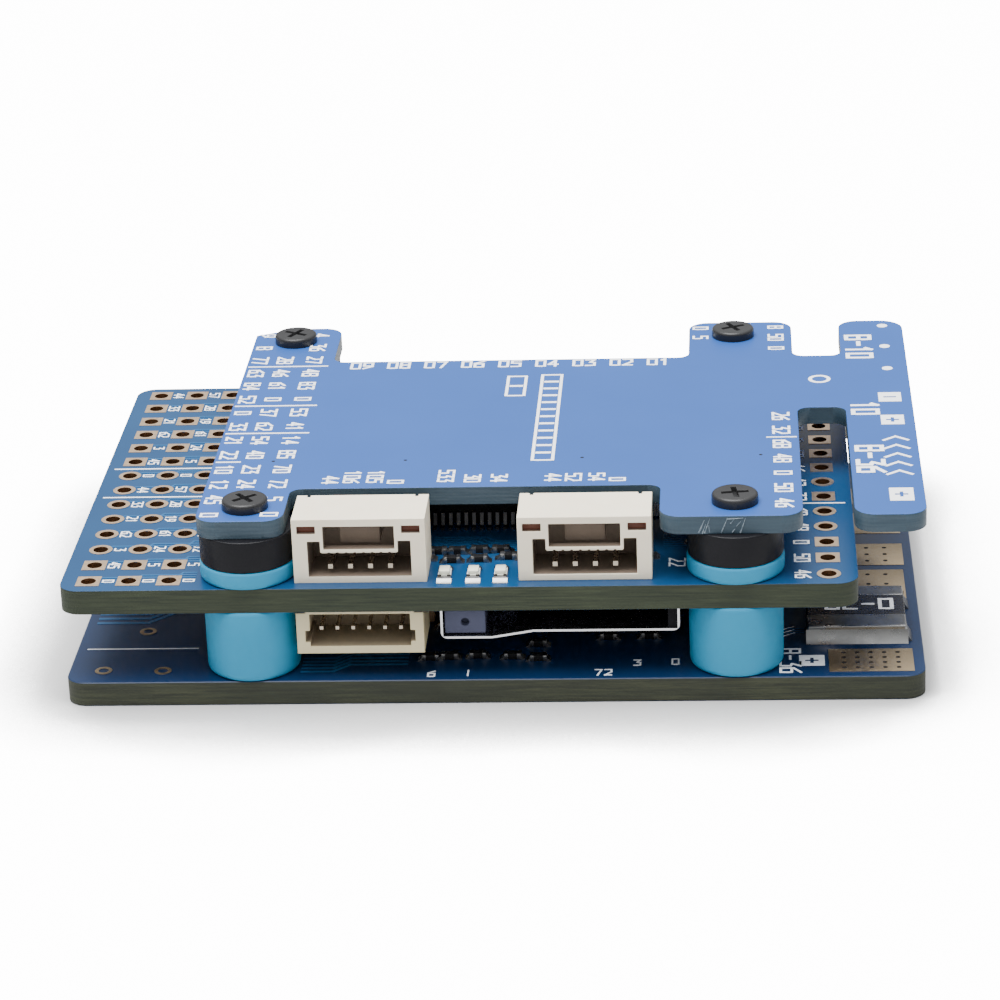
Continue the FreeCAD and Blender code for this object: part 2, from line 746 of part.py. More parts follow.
def sd_slider():
    """Sliding block in the left lane, with an arm that pushes the card out and a latch dimple."""
    left = "sd_left + sd_skin + sd_slider_gap"
    right = left + " + sd_lane_wide"
    front = SD_FRONT + " + sd_skin * 2"
    low = LOBE_FLOOR + " + sd_skin + sd_slider_gap"
    top = ROOF_LOW + " - sd_slider_gap"
    bar = block("sd_slider_bar", (left, right), (front, front + " + sd_slider_long"), (low, top))
    arm = block("sd_slider_arm", (right, right + " + sd_arm_reach"),
                (front + " + sd_slider_long - sd_arm_long", front + " + sd_slider_long"),
                (FC_BASE + " - sd_high + sd_skin + sd_slider_gap + sd_skin",
                 top + " - sd_contact_thick - sd_slider_gap"))
    dimple = doc.addObject("Part::Cylinder", "sd_slider_dimple")
    bind(dimple, "Radius", "sd_lane_wide / 10")
    bind(dimple, "Height", "sd_lane_wide / 5")
    dimple.Placement.Rotation = FreeCAD.Rotation(Vec(1, 0, 0), -90)
    bind(dimple, "Placement.Base.x", "%s + sd_lane_wide / 2" % left)
    bind(dimple, "Placement.Base.y", front)
    bind(dimple, "Placement.Base.z", "(%s + %s) / 2" % (low, top))
    solid = joined("sd_slider_solid", [bar, arm])
    keep(cut("sd_slider_cut", solid, [dimple]), "sd_slot_slider")


def sd_spring():
    """Return spring between the slider and the rear wall."""
    wire = size("spring_wire") / 2
    radius = size("spring_wide") / 2 - wire
    mouth = -size("board_wide") / 2 + size("sd_setback")
    front = mouth + 2 * size("sd_skin") + size("sd_slider_long")
    rear = mouth + size("sd_deep") - size("sd_skin") - size("sd_back_wall")
    room = rear - front - 2 * (wire + size("fit_gap"))
    helix = Part.makeHelix(room / size("spring_turns"), room, radius)
    section = Part.Wire(Part.makeCircle(wire, Vec(radius, 0, 0), Vec(0, 1, 0)))
    coil = Part.Wire(helix).makePipeShell([section], True, True)
    spring = doc.addObject("Part::Feature", "sd_spring_coil")
    spring.Shape = coil
    across = size("sd_left") + size("sd_skin") + size("sd_slider_gap") + size("sd_lane_wide") / 2
    low = size("board_thick") + size("board_gap") - size("sd_lobe_high") + size("sd_skin")
    top = size("board_thick") + size("board_gap") - size("sd_roof")
    start = Vec(across, front + wire + size("fit_gap"), (low + top) / 2)
    spring.Placement = FreeCAD.Placement(start, FreeCAD.Rotation(Vec(1, 0, 0), -90))
    keep(spring, "sd_slot_spring")


# --- processor and chips ---

def mcu():
    """Square processor package and its four rows of gull-wing leads."""
    base = FC_TOP + " + mcu_standoff"
    body = new_body("mcu_body", base, ("mcu_x", "mcu_y"))
    half = "mcu_body / 2"
    sketch = outline(body, "mcu_outline", "XY_Plane",
                     [("-" + half, "-" + half), (half, "-" + half), (half, half), ("-" + half, half)])
    slab = pad(body, sketch, "mcu_body_high - mcu_standoff")
    middle = size("mcu_body_high") / 2
    rounded(body, slab, corner_points(sketch, range(4), middle), "mcu_corner / 2")
    keep(body, "mcu_chip")


def lead_profile():
    """Side view of one gull-wing lead: foot, riser and stub, outwards from the package."""
    edge = "mcu_body / 2"
    tip = "mcu_span / 2"
    knee = "(mcu_body / 2 + lead_stub)"
    heel = "(mcu_span / 2 - lead_foot)"
    return [(edge, "lead_exit"), (knee, "lead_exit"), (heel, "0"), (tip, "0"), (tip, "lead_thick"),
            (heel + " + lead_thick / 2", "lead_thick"),
            (knee + " + lead_thick / 2", "lead_exit + lead_thick"), (edge, "lead_exit + lead_thick")]


def mcu_leads():
    rows = []
    count = int(size("lead_count"))
    first = linked("lead_pitch * (lead_count - 1) / 2 - lead_wide / 2")
    for quarter in range(4):
        body = new_body("lead_side_%d" % quarter, FC_TOP, ("mcu_x", "mcu_y"))
        bind(body, "Placement.Rotation.Angle", str(90 * quarter))
        sketch = outline(body, "lead_outline_%d" % quarter, "XZ_Plane", lead_profile())
        sketch.setExpression("AttachmentOffset.Base.z", first)
        lead = pad(body, sketch, "lead_wide")
        repeat(body, lead, "Y_Axis", "lead_pitch", count)
        rows.append(body)
    keep(group("lead_rows", rows), "mcu_leads")


def chip_leads(name, middle, body_size, count, pitch, base):
    """Straight feet on the two long sides of a small package."""
    (mid_x, mid_y), (long_x, long_y) = middle, body_size
    feet = []
    for step in offsets(count):
        across = span("%s + %s * %s" % (mid_x, pitch, step), "foot_wide")
        for side in (-1, 1):
            edge = "%s + %d * (%s) / 2" % (mid_y, side, long_y)
            along = span("%s + %d * lead_foot" % (edge, side), "2 * lead_foot")
            feet.append(block(name + "_foot", across, along, (base, base + " + foot_thick")))
    return feet


# Small chips: name, middle, length, width and height.
FC_CHIPS = {
    "imu_left": ((-12.2, 1.6), (3.0, 2.5, 0.85)),
    "imu_right": ((9.0, -0.4), (3.0, 2.5, 0.85)),
}
BAROMETER = ((11.4, -5.2), (3.6, 3.8, 1.2))
CRYSTAL = ((-11.9, -3.6), (2.5, 3.2, 0.75))
VIDEO_CHIP = ((12.2, 5.4), (9.7, 4.4, 1.1))
CAN_CHIP = ((-14.6, -8.6), (4.9, 3.9, 1.45))
BUCK_SIZE = (4.9, 3.9, 1.55)
BUCK_PLACES = [(-9.6, -4.6), (0.2, -4.6), (10.4, -4.6)]
COIL_PLACES = {"main": -10.4, "servo": 0.2, "video": 10.8}


def fc_chips():
    imus = [centred(name, place, spans, FC_TOP) for name, (place, spans) in FC_CHIPS.items()]
    keep(group("imu_pair", imus), "imu_chips")
    keep(centred("barometer_box", *BAROMETER, FC_TOP), "barometer_lid")
    keep(centred("crystal_box", *CRYSTAL, FC_TOP), "crystal_can")
    for name, (place, spans), count, pitch in (("osd", VIDEO_CHIP, 14, "video_pitch"),
                                               ("can_transceiver", CAN_CHIP, 4, "plug_pitch")):
        keep(centred(name + "_box", place, spans, FC_TOP + " + mcu_standoff"), name + "_chip")
        feet = chip_leads(name, place, spans[:2], count, pitch, FC_TOP)
        keep(group(name + "_feet", feet), name + "_leads")


# Small parts: middle X and middle Y. Those in a FRONT table give Y as the distance from the front edge.
LED_SIZE = (0.8, 1.7, 0.55)
FRONT_LEDS = [(-2.85, 1.8), (-1.05, 1.8), (0.65, 1.8)]
FRONT_RESISTORS = [(-2.55, 4.05), (-0.85, 4.15)]
RESISTOR_SIZE = (1.0, 0.55, 0.38)
FRONT_FC_PASSIVES = [(-3.5, 5.45), (-2.3, 5.45), (-0.9, 5.6), (0.45, 5.6), (1.0, 4.5)]
FC_PASSIVES = [(12.9, -11.2), (-13.4, 5.5), (-13.4, 7.4), (-11.6, 5.5), (-11.6, 7.4), (6.8, 9.4), (7.4, -2.6),
               (13.9, -1.4)]
FRONT_POWER_PASSIVES = [(-4.1, 3.15), (-2.9, 3.3), (-1.1, 3.4), (1.1, 3.25), (2.65, 5.15), (2.75, 2.95),
                        (7.1, 6.1), (9.7, 6.15)]
POWER_PASSIVES = [(-5.6, -10.0), (-3.4, -10.0), (4.9, -8.6), (6.8, -8.6)]
POWER_CAPACITORS = [(-15.8, -4.4), (-15.8, 0.6), (-15.8, 5.2), (16.4, -2.4), (16.4, 1.4), (16.4, 5.2),
                    (-5.1, -7.6), (5.4, -4.6)]
CAPACITOR_SIZE = (1.7, 3.2, 1.6)
TVS = ((14.9, -8.7), (3.6, 4.4, 2.2))


def behind_front(places):
    """Places whose Y is measured from the front edge."""
    return [(across, "%s + %s" % (FRONT, along)) for across, along in places]


def little_parts(name, label, places, spans, base):
    boxes = [centred(name, place, spans, base) for place in places]
    keep(group(name + "_set", boxes), label)


def fc_small_parts():
    little_parts("led", "status_leds", behind_front(FRONT_LEDS), LED_SIZE, FC_TOP)
    little_parts("led_resistor", "led_resistors", behind_front(FRONT_RESISTORS), RESISTOR_SIZE, FC_TOP)
    passives = behind_front(FRONT_FC_PASSIVES) + FC_PASSIVES
    little_parts("fc_passive", "fc_passives", passives, RESISTOR_SIZE, FC_TOP)


# --- power board ---

def shunt():
    """Current-sensing resistor: a coated element between two plated caps."""
    front = FRONT + " + shunt_setback"
    right = POWER_RIGHT + " - shunt_edge"
    across = (right + " - shunt_wide", right)
    up = (POWER_TOP, POWER_TOP + " + shunt_high")
    body_front = front + " + shunt_front_cap"
    body_back = body_front + " + shunt_body"
    keep(block("shunt_element", across, (body_front, body_back), up), "current_shunt_body")
    front_cap = block("shunt_front_end", across, (front, body_front), up)
    rear_cap = block("shunt_rear_end", across, (body_back, body_back + " + shunt_rear_cap"), up)
    keep(group("shunt_caps", [front_cap, rear_cap]), "current_shunt_terminals")


def coils():
    for name, place in COIL_PLACES.items():
        body = new_body("coil_" + name, POWER_TOP, (str(place), "coil_y"))
        half = "coil_size / 2"
        sketch = outline(body, "coil_outline_" + name, "XY_Plane",
                         [("-" + half, "-" + half), (half, "-" + half), (half, half), ("-" + half, half)])
        solid = pad(body, sketch, "coil_high")
        points = corner_points(sketch, range(4), size("coil_high") / 2)
        rounded(body, solid, points, "board_corner")
        keep(body, "power_inductor_" + name)


def power_chips():
    boxes = []
    feet = []
    for place in BUCK_PLACES:
        boxes.append(centred("buck", place, BUCK_SIZE, POWER_TOP + " + mcu_standoff"))
        feet += chip_leads("buck", place, BUCK_SIZE[:2], 4, "plug_pitch", POWER_TOP)
    keep(group("buck_set", boxes), "buck_chips")
    keep(group("buck_feet", feet), "buck_leads")
    keep(centred("tvs_box", *TVS, POWER_TOP + " + mcu_standoff"), "tvs_diode")
    feet = chip_leads("tvs", TVS[0], TVS[1][:2], 1, "plug_pitch", POWER_TOP)
    keep(group("tvs_feet", feet), "tvs_terminals")
    little_parts("power_capacitor", "power_capacitors", POWER_CAPACITORS, CAPACITOR_SIZE, POWER_TOP)
    passives = behind_front(FRONT_POWER_PASSIVES) + POWER_PASSIVES
    little_parts("power_passive", "power_passives", passives, RESISTOR_SIZE, POWER_TOP)


def board_link():
    """Plug and socket that carry power and signals between the two boards."""
    middle = ("0", "plug_y")
    split = POWER_TOP + " + plug_socket_high"
    places = [("plug_pitch * %s" % step, "plug_y + plug_pitch * %s" % row)
              for step in offsets(int(size("plug_pins"))) for row in offsets(2)]
    socket = centred("link_socket_box", middle, ("plug_long", "plug_wide", "plug_socket_high"), POWER_TOP)
    head = block("link_header_box", span("0", "plug_long"), span("plug_y", "plug_wide"), (split, FC_BASE))
    wells = [centred("link_well", place, ("plug_hole", "plug_hole", "plug_socket_high"), POWER_TOP)
             for place in places]
    slots = [block("link_slot", span(place[0], "plug_pin"), span(place[1], "plug_pin"), (split, FC_BASE))
             for place in places]
    pins = [block("link_pin", span(place[0], "plug_pin"), span(place[1], "plug_pin"),
                  (POWER_TOP + " + plug_pin", FC_BASE)) for place in places]
    keep(cut("link_socket_cut", socket, wells), "board_link_socket")
    keep(cut("link_header_cut", head, slots), "board_link_header")
    keep(group("link_pins", pins), "board_link_pins")


# --- boot button ---

def boot_button():
    """Side-push button hung under the board: a frame, a flanged stem and a snap dome behind it."""
    face = "fc_right - boot_inset"
    back = face + " - boot_deep"
    floor = FC_BASE + " - boot_high"
    middle = "(%s - boot_high / 2)" % FC_BASE
    frame = block("boot_case", (back, face), span("boot_y", "boot_wide"), (floor, FC_BASE))
    room_wide = "boot_stem_wide + 2 * boot_flange + 2 * boot_stem_gap"
    room_high = "boot_stem_high + 2 * boot_stem_gap"
    room_back = back + " + boot_wall"
    room_face = face + " - boot_wall"
    room = block("boot_room", (room_back, room_face), span("boot_y", room_wide), span(middle, room_high))
    mouth = block("boot_mouth", (room_face, face), span("boot_y", "boot_stem_wide + 2 * boot_stem_gap"),
                  span(middle, room_high))
    keep(cut("boot_frame_cut", frame, [room, mouth]), "boot_button_frame")
    stop = room_face + " - boot_stem_gap"
    flange_back = stop + " - boot_flange"
    flange_wide = "boot_stem_wide + 2 * boot_flange"
    flange = block("boot_flange_block", (flange_back, stop), span("boot_y", flange_wide),
                   span(middle, "boot_stem_high"))
    stem = block("boot_stem", (flange_back, face + " + boot_stem_out"), span("boot_y", "boot_stem_wide"),
                 span(middle, "boot_stem_high"))
    keep(joined("boot_plunger_solid", [flange, stem]), "boot_button_plunger")
    dome_face = flange_back + " - boot_travel - boot_stem_gap"
    keep(block("boot_dome_disc", (dome_face + " - boot_dome", dome_face), span("boot_y", "boot_stem_wide"),
               span(middle, "boot_stem_high")), "boot_button_dome")


# --- build, check and write ---

def check_document():
    """Stop if any object failed, or any sub-part has no valid solid."""
    for item in doc.Objects:
        if "Invalid" in item.State or "Error" in item.State:
            raise RuntimeError("object failed: %s %s" % (item.Label, item.State))
    for item in nodes:
        if item.Shape.isNull() or not item.Shape.isValid() or not item.Shape.Solids:
            raise RuntimeError("sub-part has no valid solid: " + item.Label)


def main():
    fill_sheet()
    boards()
    cover_plate()
    stack_hardware()
    gh_connector("can_connector", "can_mid")
    gh_connector("sensor_connector", "link_mid")
    sh_connector("usb_cable_connector", "sh_mid")
    sd_shell()
    sd_base()
    sd_contacts()
    sd_slider()
    sd_spring()
    mcu()
    mcu_leads()
    fc_chips()
    fc_small_parts()
    shunt()
    coils()
    power_chips()
    board_link()
    boot_button()
    doc.recompute()
    check_document()
    os.makedirs("parts", exist_ok=True)
    for item in nodes:
        item.Shape.exportStep("parts/%s.step" % item.Label)
        print("%-28s solids %3d volume %9.3f" % (item.Label, len(item.Shape.Solids), item.Shape.Volume))
    print("nodes", len(nodes))


main()
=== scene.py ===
"""A stacked flight controller: power board, controller board on soft grommets, and a notched cover plate."""
import math
import bmesh
import bpy
from mathutils import Matrix, Vector


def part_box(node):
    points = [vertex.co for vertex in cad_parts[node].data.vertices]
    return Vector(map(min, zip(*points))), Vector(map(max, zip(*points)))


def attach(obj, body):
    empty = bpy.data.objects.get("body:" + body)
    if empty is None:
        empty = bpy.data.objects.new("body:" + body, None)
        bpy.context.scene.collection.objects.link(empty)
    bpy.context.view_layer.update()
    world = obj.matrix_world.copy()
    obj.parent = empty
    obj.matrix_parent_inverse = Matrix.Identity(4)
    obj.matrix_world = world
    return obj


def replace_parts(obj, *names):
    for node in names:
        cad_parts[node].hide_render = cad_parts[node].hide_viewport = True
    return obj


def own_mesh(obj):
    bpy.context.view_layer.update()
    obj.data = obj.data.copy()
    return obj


MM = 0.001
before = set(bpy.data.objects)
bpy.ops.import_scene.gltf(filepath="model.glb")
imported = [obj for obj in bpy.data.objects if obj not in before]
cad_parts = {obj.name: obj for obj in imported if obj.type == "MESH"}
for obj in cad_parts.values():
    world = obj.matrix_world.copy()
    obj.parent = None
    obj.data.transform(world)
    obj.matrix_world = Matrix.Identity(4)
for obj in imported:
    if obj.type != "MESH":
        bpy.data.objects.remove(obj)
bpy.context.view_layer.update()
ROOT = "board_stack"
SLIDER = "card_slider"
BUTTON = "boot_plunger"


def span_mm(node):
    """Low and high corners of a CAD node, in millimetres."""
    low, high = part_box(node)
    return [value / MM for value in low], [value / MM for value in high]


def centre(low, high):
    """The middle of a box in plan."""
    return ((low[0] + high[0]) / 2, (low[1] + high[1]) / 2)


POWER_LOW, POWER_HIGH = span_mm("power_board")
FC_LOW, FC_HIGH = span_mm("fc_board")
COVER_LOW, COVER_HIGH = span_mm("top_cover_plate")
POWER_TOP = POWER_HIGH[2]
FC_TOP = FC_HIGH[2]
FC_BASE = FC_LOW[2]
COVER_TOP = COVER_HIGH[2]
FRONT = POWER_LOW[1]

# Plated, printed and masked copper layers stand this far above the boards and go this far in, in millimetres.
PLATED = 0.035
PRINTED = 0.02
TRACE = 0.018
SUNK = 0.01
# Where prints cross, the later run, stroke or line stands this much higher than the one under it.
STEP = 0.0015
STROKE_STEP = 0.0095
LINE_STEP = 0.014

# Shading is smooth across edges flatter than this, in degrees. Counts of facets of round shapes.
SMOOTH_UNDER = 35.0
LATHE_STEPS = 72
ROUND_STEPS = 5
PAD_STEPS = 32
VIA_STEPS = 16
VIA_RADIUS = 0.15

# Pad rows of the controller board.
PITCH = 2.54
PAD = 1.5
HOLE = 1.02
FIRST_ROW = -16.51
SIDE_COLUMNS = [-25.24, -22.7, -20.16]
SIDE_ROWS = 14
RIGHT_COLUMN = 21.0
RIGHT_ROWS = 11
SERVO_COLUMNS = 9
SERVO_ROWS = 3
SERVO_EDGE = 1.17


# --- node wiring ---

class Wiring:
    """A node tree with short calls for adding nodes and linking them."""

    def __init__(self, tree):
        self.tree = tree

    def add(self, kind, values=None, **settings):
        """A new node, with its sockets linked or set."""
        item = self.tree.nodes.new(kind)
        for name, value in settings.items():
            setattr(item, name, value)
        for socket, value in (values or {}).items():
            if isinstance(value, bpy.types.NodeSocket):
                self.tree.links.new(value, item.inputs[socket])
            else:
                item.inputs[socket].default_value = value
        return item

    def maths(self, operation, first, second=0.0):
        """The result of a sum on one or two values."""
        return self.add("ShaderNodeMath", {0: first, 1: second}, operation=operation).outputs[0]

    def mix(self, amount, first, second):
        """A colour between two others."""
        return self.add("ShaderNodeMix", {0: amount, 6: first, 7: second}, data_type="RGBA").outputs[2]

    def ramp(self, value, low, high):
        """A value stretched so that low becomes 0 and high becomes 1."""
        return self.add("ShaderNodeMapRange", {0: value, 1: low, 2: high}).outputs[0]


def rgb(red, green, blue):
    """A colour without transparency."""
    return (red, green, blue, 1.0)


def new_group(name, inputs, outputs):
    """A shader node group with named sockets, and its wiring."""
    tree = bpy.data.node_groups.new(name, "ShaderNodeTree")
    kinds = {"color": "NodeSocketColor", "value": "NodeSocketFloat"}
    for label, kind in inputs.items():
        tree.interface.new_socket(label, in_out="INPUT", socket_type=kinds[kind])
    for label, kind in outputs.items():
        tree.interface.new_socket(label, in_out="OUTPUT", socket_type=kinds[kind])
    wiring = Wiring(tree)
    return tree, wiring, tree.nodes.new("NodeGroupInput"), tree.nodes.new("NodeGroupOutput")


def build_grain_group():
    """Fine surface grain: a height for bump and a mask for roughness."""
    tree, wiring, enter, leave = new_group("Fine grain", {"Scale": "value", "Detail": "value"},
                                           {"Height": "value", "Mask": "value"})
    where = wiring.add("ShaderNodeTexCoord").outputs["Object"]
    noise = wiring.add("ShaderNodeTexNoise", {"Vector": where, "Scale": enter.outputs["Scale"],
                                              "Detail": enter.outputs["Detail"], "Roughness": 0.6})
    tree.links.new(noise.outputs[0], leave.inputs["Height"])
    tree.links.new(wiring.ramp(noise.outputs[0], 0.35, 0.65), leave.inputs["Mask"])
    return tree


def build_drift_group():
    """Slow drift of a colour between its own tone and a second one."""
    tree, wiring, enter, leave = new_group("Tone drift", {"Tone": "color", "Second tone": "color",
                                                          "Scale": "value", "Amount": "value"},
                                           {"Color": "color"})
    where = wiring.add("ShaderNodeTexCoord").outputs["Object"]
    scale = enter.outputs["Scale"]
    noise = wiring.add("ShaderNodeTexNoise", {"Vector": where, "Scale": scale, "Detail": 3.0})
    amount = wiring.maths("MULTIPLY", wiring.ramp(noise.outputs[0], 0.3, 0.7), enter.outputs["Amount"])
    drifted = wiring.mix(amount, enter.outputs["Tone"], enter.outputs["Second tone"])
    tree.links.new(drifted, leave.inputs["Color"])
    return tree


def build_laminate_group():
    """Cut glass laminate at a board's sides: streaks along the board, and a mask of the sides."""
    tree, wiring, enter, leave = new_group("Laminate side", {"Resin": "color", "Glass": "color"},
                                           {"Color": "color", "Side": "value", "Streaks": "value"})
    where = wiring.add("ShaderNodeTexCoord").outputs["Object"]
    stretched = wiring.add("ShaderNodeMapping", {"Vector": where, "Scale": (260.0, 260.0, 7000.0)}).outputs[0]
    fibres = {"Vector": stretched, "Scale": 1.0, "Detail": 5.0, "Roughness": 0.7}
    noise = wiring.add("ShaderNodeTexNoise", fibres)
    patches = wiring.add("ShaderNodeTexNoise", {"Vector": where, "Scale": 130.0, "Detail": 2.0})
    streaks = wiring.maths("MULTIPLY", wiring.ramp(noise.outputs[0], 0.38, 0.66),
                           wiring.ramp(patches.outputs[0], 0.2, 0.75))
    facing = wiring.add("ShaderNodeSeparateXYZ", {0: wiring.add("ShaderNodeNewGeometry").outputs["Normal"]})
    upright = wiring.maths("ABSOLUTE", facing.outputs[2])
    side = wiring.ramp(upright, 0.75, 0.35)
    tree.links.new(wiring.mix(streaks, enter.outputs["Resin"], enter.outputs["Glass"]), leave.inputs["Color"])
    tree.links.new(side, leave.inputs["Side"])
    tree.links.new(streaks, leave.inputs["Streaks"])
    return tree


GRAIN = build_grain_group()
DRIFT = build_drift_group()
LAMINATE = build_laminate_group()


def placed(wiring, tree, values):
    """A group placed in a material with its own values."""
    return wiring.add("ShaderNodeGroup", values, node_tree=tree)


def connect(material, shader, color, roughness, bumped):
    """Link a finish to its shader."""
    for socket, value in (("Base Color", color), ("Roughness", roughness), ("Normal", bumped.outputs[0])):
        material.node_tree.links.new(value, shader.inputs[socket])
    return material


def new_material(name, plain):
    """A material with its Principled shader's own sockets set."""
    material = bpy.data.materials.new(name)
    material.use_nodes = True
    wiring = Wiring(material.node_tree)
    shader = material.node_tree.nodes["Principled BSDF"]
    for socket, value in plain.items():
        shader.inputs[socket].default_value = value
    return material, wiring, shader


# Scale and amount of the drift of tone.
DRIFT_PLAIN = (300.0, 0.5)
BROAD = (500.0, 0.5)


def finished(name, tone, second, plain, grain_scale, bump, rough, drift=DRIFT_PLAIN, depth=0.00002):
    """A moulded, cast or plated finish: drifting tone, grain in the roughness and a fine bump."""
    material, wiring, shader = new_material(name, plain)
    grain = placed(wiring, GRAIN, {"Scale": grain_scale, "Detail": 4.0})
    tones = placed(wiring, DRIFT, {"Tone": rgb(*tone), "Second tone": rgb(*second), "Scale": drift[0],
                                   "Amount": drift[1]})
    spread = wiring.maths("MULTIPLY", grain.outputs["Mask"], rough[1] - rough[0])
    relief = {"Height": grain.outputs["Height"], "Strength": bump, "Distance": depth}
    bumped = wiring.add("ShaderNodeBump", relief)
    return connect(material, shader, tones.outputs["Color"], wiring.maths("ADD", spread, rough[0]), bumped)


def board_material(name, mask_tone, mask_second, resin, glass, rough, side_rough, plain):
    """Solder mask on the faces and cut laminate on the sides."""
    material, wiring, shader = new_material(name, plain)
    side = placed(wiring, LAMINATE, {"Resin": rgb(*resin), "Glass": rgb(*glass)})
    mask = placed(wiring, DRIFT, {"Tone": rgb(*mask_tone), "Second tone": rgb(*mask_second), "Scale": 120.0,
                                  "Amount": 0.6})
    grain = placed(wiring, GRAIN, {"Scale": 1800.0, "Detail": 3.0})
    color = wiring.mix(side.outputs["Side"], mask.outputs["Color"], side.outputs["Color"])
    roughness = wiring.maths("ADD", wiring.maths("MULTIPLY", side.outputs["Side"], side_rough - rough), rough)
    height = wiring.maths("ADD", wiring.maths("MULTIPLY", side.outputs["Streaks"], side.outputs["Side"]),
                          wiring.maths("MULTIPLY", grain.outputs["Height"], 0.12))
    bumped = wiring.add("ShaderNodeBump", {"Height": height, "Strength": 0.25, "Distance": 0.00003})
    return connect(material, shader, color, roughness, bumped)


# Plain sockets of the Principled shader that finishes share.
METAL = {"Metallic": 1.0}
SOFT = {"Specular IOR Level": 0.3}
DULL = {"Specular IOR Level": 0.12}
COATED = {"Coat Weight": 0.35, "Coat Roughness": 0.12}
RESIN = {"Coat Weight": 0.8, "Coat Roughness": 0.05}
RUBBER = {"Specular IOR Level": 0.2, "Subsurface Weight": 0.15, "Subsurface Radius": (0.0004, 0.0008, 0.001)}
NYLON = {"Specular IOR Level": 0.4, "Subsurface Weight": 0.12, "Subsurface Radius": (0.0009, 0.0006, 0.0004)}

